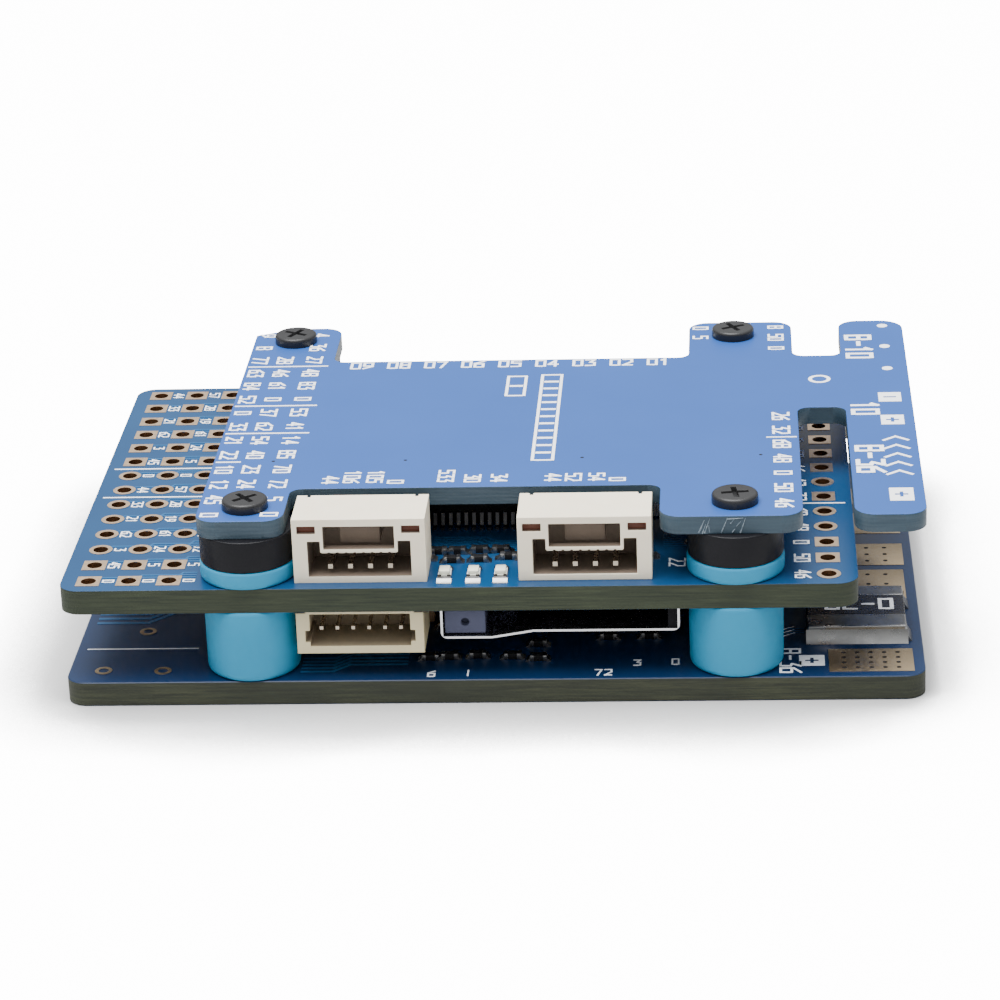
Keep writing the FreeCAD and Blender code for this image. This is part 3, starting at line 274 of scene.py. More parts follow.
# Every finish by its key. The rows are the arguments of board_material and of finished.
BOARD_FINISHES = {
    "fc_mask": ("controller mask", (0.004, 0.040, 0.115), (0.006, 0.054, 0.145), (0.018, 0.024, 0.014),
                (0.048, 0.060, 0.030), 0.3, 0.62, SOFT),
    # The power board's mask is darker than the controller board's: painted shade for the gap under the upper
    # board.
    "power_mask": ("power mask", (0.003, 0.017, 0.060), (0.004, 0.025, 0.082), (0.020, 0.023, 0.015),
                   (0.052, 0.058, 0.031), 0.32, 0.62, SOFT),
    "cover_mask": ("cover mask", (0.019, 0.074, 0.275), (0.023, 0.084, 0.30), (0.028, 0.052, 0.074),
                   (0.060, 0.090, 0.115), 0.45, 0.4, SOFT),
}
FINISHES = {
    "trace": ("copper under mask", (0.010, 0.080, 0.20), (0.014, 0.10, 0.24), SOFT, 2500.0, 0.2, (0.3, 0.36)),
    "ink": ("white ink", (0.92, 0.93, 0.94), (0.80, 0.83, 0.86), SOFT, 4200.0, 0.3, (0.5, 0.65)),
    "gold": ("plated gold", (0.80, 0.60, 0.42), (0.64, 0.46, 0.30), METAL, 5200.0, 0.3, (0.3, 0.42)),
    "dull_gold": ("power pad gold", (0.46, 0.36, 0.23), (0.34, 0.26, 0.16), METAL, 5200.0, 0.35, (0.36, 0.5)),
    "barrel": ("plated hole wall", (0.30, 0.16, 0.08), (0.14, 0.07, 0.035), METAL, 4200.0, 0.3, (0.4, 0.55)),
    "tin": ("reflowed tin", (0.26, 0.26, 0.255), (0.17, 0.17, 0.17), METAL, 900.0, 0.3, (0.24, 0.4),
            DRIFT_PLAIN, 0.00005),
    # Chip leads darkened far below tin's own tone: painted shade for the shadow the chips sit in.
    "painted_shade_lead_tin": ("plated lead", (0.09, 0.09, 0.095), (0.05, 0.05, 0.055), METAL, 1500.0, 0.4, (0.3, 0.45),
                 DRIFT_PLAIN, 0.00004),
    "steel": ("rolled steel", (0.68, 0.68, 0.69), (0.56, 0.56, 0.58), METAL, 2600.0, 0.15, (0.2, 0.3)),
    "pin": ("contact metal", (0.50, 0.44, 0.35), (0.24, 0.20, 0.15), METAL, 1600.0, 0.06, (0.2, 0.32)),
    "silicone": ("blue silicone", (0.020, 0.255, 0.44), (0.018, 0.225, 0.40), RUBBER, 2200.0, 0.25,
                 (0.55, 0.68)),
    "nylon": ("black nylon", (0.007, 0.007, 0.009), (0.012, 0.012, 0.014), DULL, 2000.0, 0.2, (0.3, 0.42)),
    "screw": ("blackened steel", (0.012, 0.012, 0.013), (0.025, 0.025, 0.026), SOFT, 3200.0, 0.3,
              (0.3, 0.45)),
    "ivory": ("ivory nylon", (0.85, 0.77, 0.61), (0.79, 0.70, 0.54), NYLON, 3400.0, 0.3, (0.42, 0.56), BROAD),
    "cream": ("cream nylon", (0.62, 0.54, 0.34), (0.55, 0.47, 0.28), NYLON, 3400.0, 0.3, (0.42, 0.56), BROAD),
    # Darker copies of the ivory and cream nylon: painted shade for faces inside connector openings, and for
    # the latch bar.
    "painted_shade_ivory": ("shaded ivory nylon", (0.20, 0.155, 0.12), (0.155, 0.12, 0.092), DULL, 3400.0, 0.3,
                    (0.5, 0.65), BROAD),
    "painted_shade_cream": ("shaded cream nylon", (0.30, 0.245, 0.165), (0.24, 0.19, 0.13), DULL, 3400.0, 0.3,
                    (0.5, 0.65), BROAD),
    "slot_plastic": ("slot plastic", (0.075, 0.082, 0.13), (0.055, 0.06, 0.10), DULL, 2600.0, 0.3,
                     (0.45, 0.6)),
    "slot_dark": ("dark slot plastic", (0.004, 0.004, 0.006), (0.006, 0.006, 0.008), DULL, 900.0, 0.02,
                  (0.6, 0.7)),
    "epoxy": ("chip epoxy", (0.009, 0.009, 0.010), (0.015, 0.015, 0.016), DULL, 3800.0, 0.4, (0.38, 0.55)),
    "shunt_coat": ("shunt coating", (0.014, 0.014, 0.018), (0.022, 0.022, 0.028), SOFT, 1500.0, 0.12,
                   (0.22, 0.34)),
    "ferrite": ("pressed powder", (0.085, 0.085, 0.09), (0.05, 0.05, 0.055), SOFT, 5200.0, 0.6, (0.5, 0.75)),
    "ceramic": ("ceramic tan", (0.34, 0.22, 0.12), (0.27, 0.17, 0.09), SOFT, 3000.0, 0.3, (0.35, 0.5)),
    "led_body": ("light body", (0.83, 0.84, 0.80), (0.72, 0.74, 0.68), COATED, 3200.0, 0.2, (0.3, 0.42)),
    "led_lens": ("light resin", (0.78, 0.79, 0.66), (0.70, 0.72, 0.58), RESIN, 2500.0, 0.1, (0.12, 0.2)),
    # Dark discs at vias: painted shade for their holes; the same finish serves the lights' dark corner marks.
    "painted_hole_shade_and_marks": ("deep shade", (0.012, 0.010, 0.008), (0.02, 0.016, 0.012), SOFT, 3000.0, 0.2, (0.7, 0.85)),
    # Dark red-brown boxes at the backs of the latch slots: painted shade.
    "painted_shade_latch": ("shaded latch plastic", (0.135, 0.045, 0.025), (0.10, 0.035, 0.02), SOFT, 3000.0, 0.2,
                  (0.5, 0.65)),
    "frayed": ("frayed glass", (0.26, 0.31, 0.35), (0.09, 0.13, 0.17), SOFT, 6000.0, 0.9, (0.6, 0.85),
               (3500.0, 1.0), 0.00006),
}
MATERIALS = {key: board_material(*row) for key, row in BOARD_FINISHES.items()}
MATERIALS.update({key: finished(*row) for key, row in FINISHES.items()})


# --- mesh building, in millimetres ---

def piece(name, mesh, finish, body=ROOT, smooth=SMOOTH_UNDER, flat=()):
    """Turn gathered geometry into a named piece that rides on a body. Faces numbered in flat stay flat."""
    data = bpy.data.meshes.new(name)
    bmesh.ops.scale(mesh, vec=(MM, MM, MM), verts=mesh.verts)
    bmesh.ops.recalc_face_normals(mesh, faces=mesh.faces)
    mesh.to_mesh(data)
    mesh.free()
    made = bpy.data.objects.new(name, data)
    bpy.context.scene.collection.objects.link(made)
    data.materials.append(MATERIALS[finish])
    smooth_under(data, smooth, set(flat))
    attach(made, body)
    return made


def smooth_under(data, angle, flat):
    """Smooth shading that keeps edges sharper than the angle, and leaves the faces numbered in flat alone."""
    limit = math.radians(angle)
    mesh = bmesh.new()
    mesh.from_mesh(data)
    for face in mesh.faces:
        face.smooth = face.index not in flat
    for edge in mesh.edges:
        edge.smooth = edge.is_manifold and edge.calc_face_angle(0.0) < limit
    mesh.to_mesh(data)
    mesh.free()


def prism(mesh, points, low, high):
    """A flat outline raised from low to high."""
    base = [mesh.verts.new((across, along, low)) for across, along in points]
    lid = [mesh.verts.new((across, along, high)) for across, along in points]
    count = len(points)
    mesh.faces.new(list(reversed(base)))
    mesh.faces.new(lid)
    for index in range(count):
        after = (index + 1) % count
        mesh.faces.new((base[index], base[after], lid[after], lid[index]))


def box_mesh(mesh, low, high, edge=0.0):
    """A box between two corners, with its edges bevelled by edge."""
    made = bmesh.ops.create_cube(mesh, size=1.0)["verts"]
    middle = Vector([(a + b) / 2 for a, b in zip(low, high)])
    spans = Vector([b - a for a, b in zip(low, high)])
    bmesh.ops.scale(mesh, vec=spans, verts=made)
    bmesh.ops.translate(mesh, vec=middle, verts=made)
    if edge > 0:
        edges = list({item for vert in made for item in vert.link_edges})
        bmesh.ops.bevel(mesh, geom=edges, offset=edge, segments=2, affect="EDGES", profile=0.5)


def circle_points(middle, radius, steps):
    """Points on a circle, anticlockwise from its +X side."""
    turns = [2 * math.pi * index / steps for index in range(steps)]
    return [(middle[0] + radius * math.cos(turn), middle[1] + radius * math.sin(turn)) for turn in turns]


def square_points(middle, half, steps):
    """Points on a square, in step with the points on a circle."""
    points = []
    for index in range(steps):
        turn = 2 * math.pi * index / steps
        reach = half / max(abs(math.cos(turn)), abs(math.sin(turn)))
        points.append((middle[0] + reach * math.cos(turn), middle[1] + reach * math.sin(turn)))
    return points


def join_loops(mesh, loops):
    """Walls between each loop of corners and the next, and between the last and the first."""
    count = len(loops[0])
    for first, second in zip(loops, loops[1:] + loops[:1]):
        for index in range(count):
            after = (index + 1) % count
            mesh.faces.new((first[index], first[after], second[after], second[index]))


def close_solid(mesh, first, second):
    """Two caps and the walls between them, for a solid between two loops of corners."""
    count = len(first)
    mesh.faces.new(first)
    mesh.faces.new(list(reversed(second)))
    for index in range(count):
        after = (index + 1) % count
        mesh.faces.new((first[index], second[index], second[after], first[after]))


def washer(mesh, outer, inner, low, high):
    """A plate between an outer and an inner outline with the same number of points."""
    loops = [[mesh.verts.new((across, along, level)) for across, along in points]
             for points, level in ((outer, low), (outer, high), (inner, high), (inner, low))]
    join_loops(mesh, loops)


def lathe(mesh, middle, profile):
    """A closed profile of (radius, height) points turned about an upright axis."""
    loops = []
    for radius, height in profile:
        loops.append([mesh.verts.new((across, along, height))
                      for across, along in circle_points(middle, radius, LATHE_STEPS)])
    join_loops(mesh, loops)


def round_profile(profile, rounding):
    """A closed profile with chosen corners rounded: rounding maps a corner's index to its radius."""
    result = []
    count = len(profile)
    for index, point in enumerate(profile):
        radius = rounding.get(index, 0.0)
        if not radius:
            result.append(point)
            continue
        here = Vector(point)
        before = (Vector(profile[index - 1]) - here).normalized()
        after = (Vector(profile[(index + 1) % count]) - here).normalized()
        start = here + before * radius
        end = here + after * radius
        for step in range(ROUND_STEPS + 1):
            part = step / ROUND_STEPS
            bend = start * (1 - part) ** 2 + here * 2 * part * (1 - part) + end * part ** 2
            result.append((bend.x, bend.y))
    return result


def ribbon(mesh, points, width, low, high):
    """A flat strip of one width along straight runs, with the tops of joining runs a hair apart."""
    for index, (start, end) in enumerate(zip(points, points[1:])):
        first, second = Vector(start), Vector(end)
        along = (second - first).normalized() * width / 2
        across = Vector((-along.y, along.x))
        corners = [first - along + across, first - along - across, second + along - across,
                   second + along + across]
        prism(mesh, [(corner.x, corner.y) for corner in corners], low, high + STEP * index)


# Strokes of the ten digits and a dash on a grid 2 wide and 4 high.
STROKES = {
    "0": [[(0, 0), (2, 0), (2, 4), (0, 4), (0, 0)]],
    "1": [[(0.3, 3.2), (1, 4), (1, 0)]],
    "2": [[(0, 4), (2, 4), (2, 2.2), (0, 0), (2, 0)]],
    "3": [[(0, 4), (2, 4), (1, 2.3), (2, 2), (2, 0), (0, 0)]],
    "4": [[(1.5, 0), (1.5, 4), (0, 1.2), (2, 1.2)]],
    "5": [[(2, 4), (0, 4), (0, 2.3), (2, 2.3), (2, 0), (0, 0)]],
    "6": [[(2, 4), (0, 2.6), (0, 0), (2, 0), (2, 2.2), (0, 2.2)]],
    "7": [[(0, 4), (2, 4), (0.8, 0)]],
    "8": [[(0, 0), (2, 0), (2, 4), (0, 4), (0, 0)], [(0, 2.1), (2, 2.1)]],
    "9": [[(2, 1.8), (0, 1.8), (0, 4), (2, 4), (2, 1.4), (0, 0)]],
    "-": [[(0.2, 2), (1.8, 2)]],
}


# Turn of labels that read down the board from its rear, in degrees.
DOWN = -90.0


def label(mesh, text, middle, high, level, turn, stroke):
    """Digits of one height centred on a place, turned about Z, raised by the ink."""
    unit = high / 4
    step = 3.05 * unit
    start = -(len(text) - 1) * step / 2 - unit
    rotation = Matrix.Rotation(math.radians(turn), 2)
    for index, sign in enumerate(text):
        for number, stroke_points in enumerate(STROKES[sign]):
            line = []
            for across, along in stroke_points:
                local = rotation @ Vector((start + index * step + across * unit, (along - 2) * unit))
                line.append((middle[0] + local.x, middle[1] + local.y))
            ribbon(mesh, line, stroke * high, level, level + PRINTED + STROKE_STEP * number)


def softened(node, finish, edge, segments=2, body=ROOT):
    """A copy of a CAD node with its sharp edges eased, which stands for the node."""
    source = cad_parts[node]
    mesh = bmesh.new()
    mesh.from_mesh(source.data)
    bmesh.ops.remove_doubles(mesh, verts=mesh.verts, dist=1e-7)
    bmesh.ops.dissolve_limit(mesh, angle_limit=math.radians(1.0), verts=mesh.verts, edges=mesh.edges)
    sharp = [item for item in mesh.edges if item.is_manifold and item.calc_face_angle(0.0) > math.radians(40)]
    bmesh.ops.bevel(mesh, geom=sharp, offset=edge * MM, segments=segments, affect="EDGES", profile=0.5,
                    clamp_overlap=True)
    bmesh.ops.scale(mesh, vec=(1 / MM, 1 / MM, 1 / MM), verts=mesh.verts)
    mesh.normal_update()
    mesh.faces.index_update()
    flat = [face.index for face in mesh.faces if max(abs(part) for part in face.normal) > 0.9999]
    made = piece(node + "_finished", mesh, finish, body, flat=flat)
    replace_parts(made, node)
    return made


def shade_inside(made, finish, skin, lip):
    """Paint shade on the faces that look into a housing's openings with a second, darker finish, except near
    its front.
    """
    data = made.data
    data.materials.append(MATERIALS[finish])
    places = [vert.co for vert in data.vertices]
    low = [min(place[axis] for place in places) for axis in range(3)]
    high = [max(place[axis] for place in places) for axis in range(3)]
    for face in data.polygons:
        middle = face.center
        sunk = all(low[axis] + skin * MM < middle[axis] < high[axis] - skin * MM for axis in (0, 2))
        behind = middle[1] > low[1] + lip * MM and middle[1] < high[1] - skin * MM
        if sunk and behind:
            face.material_index = 1


def repaint(node, finish):
    """Give a CAD node its own finish in its material slots."""
    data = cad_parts[node].data
    data.materials.clear()
    data.materials.append(MATERIALS[finish])


# --- boards ---

def pad_places():
    """Every pad of the controller board: middle X, middle Y, and whether it is square."""
    places = []
    for column in SIDE_COLUMNS:
        for row in range(SIDE_ROWS):
            places.append((column, FIRST_ROW + PITCH * row, row < 2 or row > 7))
    round_right = {0, 3, 4, 6}
    for row in range(RIGHT_ROWS):
        places.append((RIGHT_COLUMN, FIRST_ROW + PITCH * row, row not in round_right))
    back = -FRONT - SERVO_EDGE
    for row in range(SERVO_ROWS):
        for column in range(SERVO_COLUMNS):
            across = (column - (SERVO_COLUMNS - 1) / 2) * PITCH
            places.append((across, back - row * PITCH, row == 0))
    return places


def pads():
    """Plated pads on both faces and plated hole walls."""
    faces = bmesh.new()
    walls = bmesh.new()
    for across, along, is_square in pad_places():
        middle = (across, along)
        shape = square_points if is_square else circle_points
        outer = shape(middle, PAD / 2, PAD_STEPS)
        inner = circle_points(middle, HOLE / 2 - 0.03, PAD_STEPS)
        washer(faces, outer, inner, FC_TOP - SUNK, FC_TOP + PLATED)
        washer(faces, outer, inner, FC_BASE - PLATED, FC_BASE + SUNK)
        wall_outer = circle_points(middle, HOLE / 2 + 0.005, PAD_STEPS)
        wall_inner = circle_points(middle, HOLE / 2 - 0.035, PAD_STEPS)
        washer(walls, wall_outer, wall_inner, FC_BASE, FC_TOP)
    piece("controller_pads", faces, "gold")
    piece("controller_hole_walls", walls, "barrel")


def test_pads():
    """Bare round test pads with a hole on the power board."""
    mesh = bmesh.new()
    for across, along in ((-22.8, -10.2), (-21.0, -16.3), (-24.8, -16.2), (24.4, 14.6)):
        rings = [circle_points((across, along), radius, 28) for radius in (0.55, 0.32)]
        washer(mesh, *rings, POWER_TOP - SUNK, POWER_TOP + PLATED)
    piece("test_pads", mesh, "dull_gold")


def via_plate(mesh, pits, low, high, columns, rows, inset):
    """A plated rectangle with a grid of small vias sunk in it, each a dark disc of painted shade for its
    hole.
    """
    plate_top = POWER_TOP + PLATED
    box_mesh(mesh, (low[0], low[1], POWER_TOP - SUNK), (high[0], high[1], plate_top), 0.012)
    for column in range(columns):
        for row in range(rows):
            across = low[0] + inset[0] + column * (high[0] - low[0] - 2 * inset[0]) / (columns - 1)
            along = low[1] + inset[1] + row * (high[1] - low[1] - 2 * inset[1]) / (rows - 1)
            outline = circle_points((across, along), VIA_RADIUS, VIA_STEPS)
            prism(pits, outline, plate_top - 0.002, plate_top + 0.004)


# Plated rectangles on the power board: low corner, high corner, via columns, via rows and the vias' inset.
POWER_PADS = [
    ((21.0, -17.3), (26.3, -13.95), 5, 4, (0.95, 0.55)),
    ((20.4, -6.1), (26.3, -1.35), 4, 3, (1.2, 0.8)),
    ((20.4, -0.55), (26.4, 3.05), 4, 3, (1.2, 0.7)),
    ((20.4, 4.9), (26.4, 8.5), 4, 3, (1.2, 0.7)),
    ((20.4, 10.2), (26.4, 13.0), 4, 2, (1.2, 0.7)),
]


# A row of output pads along the rear edge of the power board.
REAR_PADS = 8
REAR_PITCH = 3.0
REAR_LOW, REAR_HIGH = 14.9, 17.3


def rear_places():
    """The middle of each rear pad along X."""
    return [(column - (REAR_PADS - 1) / 2) * REAR_PITCH for column in range(REAR_PADS)]


def power_pads():
    """Plated battery, motor and output pads of the power board, with their vias."""
    plates = bmesh.new()
    pits = bmesh.new()
    for low, high, columns, rows, inset in POWER_PADS:
        via_plate(plates, pits, low, high, columns, rows, inset)
    for across in rear_places():
        via_plate(plates, pits, (across - 0.95, REAR_LOW), (across + 0.95, REAR_HIGH), 2, 3, (0.5, 0.55))
    piece("power_pads", plates, "dull_gold")
    # The vias are dark discs of painted shade for their holes.
    piece("power_pad_vias", pits, "painted_hole_shade_and_marks")


def route(mesh, start, end, bend, width, level):
    """A trace with one diagonal between two straight runs along X."""
    drop = end[1] - start[1]
    toward = 1 if end[0] > start[0] else -1
    middle = start[0] + (end[0] - start[0]) * bend
    points = [start, (middle, start[1]), (middle + toward * abs(drop), end[1]), end]
    ribbon(mesh, points, width, level, level + TRACE)


def traces():
    """Copper runs raised under the mask of both boards."""
    mesh = bmesh.new()
    for row in range(SIDE_ROWS):
        for index, column in enumerate(SIDE_COLUMNS):
            along = FIRST_ROW + PITCH * row
            lane = along + 0.55 + 0.36 * index
            if row < SIDE_ROWS - 1:
                run = [(column + 0.4, along + 0.4), (column + 0.75, lane), (-18.6, lane)]
                ribbon(mesh, run, 0.16, FC_TOP - SUNK / 2, FC_TOP + TRACE)
    for lane in range(7):
        route(mesh, (-3.9, -11.9 + 0.32 * lane), (1.6, -12.6 + 0.32 * lane), 0.3 + 0.05 * lane, 0.13, FC_TOP)
    for lane in range(6):
        route(mesh, (10.8, -11.8 + 0.36 * lane), (19.2, -9.6 + 0.36 * lane), 0.25 + 0.04 * lane, 0.14, FC_TOP)
    piece("controller_traces", mesh, "trace")
    power = bmesh.new()
    for lane in range(5):
        route(power, (-12.1, -16.6 + 0.5 * lane), (-5.6, -15.6 + 0.5 * lane), 0.3, 0.22, POWER_TOP)
    for lane in range(6):
        route(power, (-26.2, -8.8 + 0.7 * lane), (-17.0, -6.6 + 0.7 * lane), 0.35, 0.3, POWER_TOP)
    for lane in range(3):
        along = -11.3 + 0.3 * lane
        ribbon(power, [(16.2, along), (19.5, along)], 0.12, POWER_TOP, POWER_TOP + TRACE)
    piece("power_traces", power, "trace")


# --- printed marks ---

def labels(mesh, places, high, level, turn, stroke):
    """Labels of one height at several places, each given as X, Y and digits."""
    for across, along, text in places:
        label(mesh, text, (across, along), high, level, turn, stroke)


def column_labels(mesh, across, rows, texts, level, high, stroke):
    """A column of labels in step with the pad rows."""
    places = [(across, FIRST_ROW + PITCH * row, texts[row % len(texts)]) for row in rows]
    labels(mesh, places, high, level, DOWN, stroke)


def cover_prints():
    """Printed labels of the cover, as generic numbers, signs and lines."""
    mesh = bmesh.new()
    level = COVER_TOP
    texts = [["0", "45", "12", "10", "22", "21", "33", "0", "52", "84", "63", "77", "8", "9"],
             ["0", "5", "24", "23", "40", "54", "62", "37", "0", "61", "46", "28", "35", "3"],
             ["0", "5", "72", "70", "85", "14", "41", "53", "0", "83", "48", "27", "36", "4"]]
    for across, column in zip((-17.35, -15.62, -13.6), texts):
        covered = (0, 1, 12) if across == -15.62 else ()
        rows = [row for row in range(SIDE_ROWS) if row not in covered]
        column_labels(mesh, across, rows, column, level, 0.98, 0.17)
    for row, end in ((3.5, -16.5), (5.5, -12.6), (7.5, -12.6), (10.5, -12.6)):
        along = FIRST_ROW + PITCH * row
        ribbon(mesh, [(-17.95, along), (end, along)], 0.17, level, level + PRINTED + LINE_STEP)
    fronts = {-10.31: "44", -8.97: "106", -7.49: "105", -6.14: "0", -2.98: "533", -1.28: "30", 0.4: "34",
              3.8: "44", 5.1: "52", 6.57: "54", 7.88: "0"}
    places = [(across, -11.8 + 0.45 * len(text), text) for across, text in fronts.items()]
    labels(mesh, places, 0.92, level, DOWN, 0.17)
    right_texts = ("46", "50", "0", "48", "68", "32", "26")
    right = [(18.3, -15.6 + 2.5 * row, text) for row, text in enumerate(right_texts)]
    labels(mesh, right, 1.0, level, DOWN, 0.17)
    ribbon(mesh, [(17.4, -4.4), (19.2, -4.4)], 0.16, level, level + PRINTED + LINE_STEP)
    for column in range(SERVO_COLUMNS):
        across = (column - (SERVO_COLUMNS - 1) / 2) * PITCH
        label(mesh, "%02d" % (SERVO_COLUMNS - column), (across, 10.12), 1.12, level, 0.0, 0.17)
    rear = [(13.0, 14.9, "5"), (13.0, 16.8, "0"), (18.2, 12.5, "0"), (18.2, 14.7, "50"), (18.2, 16.8, "8")]
    labels(mesh, rear, 0.95, level, DOWN, 0.17)
    blank_panel(mesh, (2.35, -7.9), (3.65, 7.8), level)
    blank_panel(mesh, (0.05, 3.9), (1.25, 7.6), level)
    arm_prints(mesh, level)
    piece("cover_prints", mesh, "ink")
    # Dark discs at the cover's vias: painted shade for their holes.
    dots = bmesh.new()
    for across, along in ((-14.33, -7.5), (-5.8, -7.6), (5.53, -7.5), (16.93, -7.4), (24.6, -6.9)):
        prism(dots, circle_points((across, along), 0.12, VIA_STEPS), level - SUNK, level + 0.004)
    piece("cover_vias", dots, "painted_hole_shade_and_marks")


def blank_panel(mesh, low, high, level):
    """A write-on field: an outlined strip with plain bars across it."""
    corners = [(low[0], low[1]), (high[0], low[1]), (high[0], high[1]), (low[0], high[1]), (low[0], low[1])]
    ribbon(mesh, corners, 0.2, level, level + PRINTED)
    bars = int((high[1] - low[1]) / 1.25)
    for bar in range(1, bars):
        along = low[1] + bar * (high[1] - low[1]) / bars
        ribbon(mesh, [(low[0] + 0.3, along), (high[0] - 0.3, along)], 0.3, level, level + PRINTED)


# Half width of a polarity sign's strokes and half length of its arms, in millimetres.
SIGN_THICK, SIGN_ARM = 0.11, 0.42


def printed_box(mesh, first, second, level):
    """A printed rectangle between two opposite corners, in any order."""
    low_x, high_x = sorted((first[0], second[0]))
    low_y, high_y = sorted((first[1], second[1]))
    prism(mesh, [(low_x, low_y), (high_x, low_y), (high_x, high_y), (low_x, high_y)], level, level + PRINTED)


def sign_box(mesh, middle, half, sign, level):
    """A solid white box with a sign left clear in it, as strips round the sign."""
    across, along = middle
    reach = SIGN_ARM if sign == "+" else SIGN_THICK
    for side in (-1, 1):
        inner = (across + side * SIGN_ARM, along - half[1])
        printed_box(mesh, inner, (across + side * half[0], along + half[1]), level)
    for side in (-1, 1):
        inner = (across - SIGN_ARM, along + side * reach)
        printed_box(mesh, inner, (across + SIGN_ARM, along + side * half[1]), level)
    if sign == "+":
        for side_x in (-1, 1):
            for side_y in (-1, 1):
                inner = (across + side_x * SIGN_THICK, along + side_y * SIGN_THICK)
                printed_box(mesh, inner, (across + side_x * SIGN_ARM, along + side_y * SIGN_ARM), level)


def arm_prints(mesh, level):
    """Marks of the right arm: numbers, polarity boxes, chevrons and dots."""
    ratings = [(23.85, -8.4, "8-36"), (23.85, 0.6, "10"), (23.85, 12.6, "8-10")]
    labels(mesh, ratings, 1.6, level, DOWN, 0.18)
    sign_box(mesh, (25.55, -14.4), (0.75, 1.05), "+", level)
    sign_box(mesh, (25.55, -1.5), (0.75, 0.85), "+", level)
    sign_box(mesh, (25.55, 2.7), (0.75, 0.85), "-", level)
    for index in range(5):
        along = -4.85 - 1.48 * index
        ribbon(mesh, [(24.85, along - 0.3), (25.6, along + 0.32), (26.35, along - 0.3)], 0.22, level,
               level + PRINTED)
    for along in (8.2, 12.6, 16.8):
        prism(mesh, circle_points((25.62, along), 0.36, 24), level, level + PRINTED)
    ring_middle = (21.0, 6.3)
    rings = [circle_points(ring_middle, radius, 40) for radius in (0.75, 0.5)]
    washer(mesh, *rings, level, level + PRINTED)


def board_prints():
    """Printed numbers and lines on the two boards."""
    mesh = bmesh.new()
    texts = [["0", "45", "3", "62", "21", "33", "44"], ["0", "5", "24", "61", "19", "28", "57"],
             ["0", "5", "72", "12", "85", "71", "16"]]
    for across, column in zip(SIDE_COLUMNS, texts):
        column_labels(mesh, across + 1.25, range(SIDE_ROWS), column, FC_TOP, 0.66, 0.15)
    right_texts = ["46", "50", "0", "48", "68", "32", "42"]
    column_labels(mesh, RIGHT_COLUMN - 1.6, range(RIGHT_ROWS), right_texts, FC_TOP, 0.9, 0.15)
    label(mesh, "22", (11.6, -14.4), 0.95, FC_TOP, DOWN, 0.13)
    for along in (-2.55, 2.53):
        ribbon(mesh, [(-26.4, along), (-19.0, along)], 0.15, FC_TOP, FC_TOP + PRINTED)
    ribbon(mesh, [(19.6, -4.95), (22.3, -4.95)], 0.13, FC_TOP, FC_TOP + PRINTED)
    piece("controller_prints", mesh, "ink")
    power = bmesh.new()
    label(power, "8-36", (18.6, -15.6), 1.25, POWER_TOP, DOWN, 0.13)
    sign_box(power, (19.95, -15.6), (0.8, 0.78), "+", POWER_TOP)
    fronts = [(-3.9, -17.1, "6"), (6.9, -17.1, "72"), (9.0, -15.7, "3"), (11.4, -15.6, "0")]
    labels(power, fronts, 0.8, POWER_TOP, 0.0, 0.14)
    ribbon(power, [(-1.6, -17.4), (-1.6, -16.6)], 0.1, POWER_TOP, POWER_TOP + PRINTED)
    ribbon(power, [(-26.3, -12.9), (-19.2, -12.9)], 0.1, POWER_TOP, POWER_TOP + PRINTED)
    for lane in range(3):
        ribbon(power, [(18.0, -12.0 + 0.5 * lane), (18.9, -11.4 + 0.5 * lane)], 0.1, POWER_TOP,
               POWER_TOP + PRINTED)
    for number, across in enumerate(rear_places(), start=1):
        label(power, str(number), (across, REAR_LOW - 0.9), 0.95, POWER_TOP, 180.0, 0.16)
    for along in (6.8, 8.4):
        ribbon(power, [(-26.0, along), (-19.6, along)], 0.12, POWER_TOP, POWER_TOP + PRINTED)
    piece("power_prints", power, "ink")


# Torn glass on the cover's front edge, in millimetres: foot (X, height), head (X, height) and width.
SLIVERS = [
    ((13.00, 0.10), (13.36, 0.95), 0.10), ((13.22, 0.05), (13.45, 0.70), 0.07),
    ((13.36, 0.10), (13.70, 1.05), 0.08), ((13.68, 0.10), (13.62, 0.60), 0.06),
    ((14.38, 0.08), (14.78, 1.08), 0.07), ((14.72, 1.00), (15.75, 1.06), 0.07),
    ((14.95, 0.70), (15.20, 1.00), 0.06), ((15.05, 0.12), (15.24, 0.35), 0.07),
    ((15.55, 0.08), (15.88, 1.05), 0.09), ((15.30, 0.50), (15.60, 0.85), 0.05),
]
SLIVER_REACH = 0.03


def frayed_tabs():
    """Slanting slivers of torn glass where the cover's tabs were broken out of its panel."""
    mesh = bmesh.new()
    edge = COVER_LOW[1]
    for index, (foot, head, wide) in enumerate(SLIVERS):
        start, end = Vector(foot), Vector(head)
        along = (end - start).normalized() * wide / 2
        across = Vector((-along.y, along.x))
        tip = across * 0.3
        corners = [start - across, start + across, end + tip, end - tip]
        reach = SLIVER_REACH + STEP * index
        loops = [[mesh.verts.new((corner.x, place, COVER_LOW[2] + corner.y)) for corner in corners]
                 for place in (edge - reach, edge + 0.05)]
        close_solid(mesh, *loops)
    piece("frayed_tabs", mesh, "frayed")


# --- small parts ---

def solder_wedge(mesh, middle, reach, wide, level, rise, axis, side):
    """A sloped bead of solder between a pad and the end of a small part."""
    along, across = (1, 0) if axis == "y" else (0, 1)
    near = middle[along]
    half = wide / 2
    slope = ((0.0, 0.0), (0.0, rise), (reach * 0.35, rise * 0.42), (reach, 0.02), (reach, 0.0))
    points = [(near + side * slide, level + height) for slide, height in slope]
    loops = []
    for edge in (-half, half):
        loop = []
        for place, height in points:
            corner = [0.0, 0.0, height]
            corner[along] = place
            corner[across] = middle[across] + edge
            loop.append(mesh.verts.new(corner))
        loops.append(loop)
    close_solid(mesh, *loops)


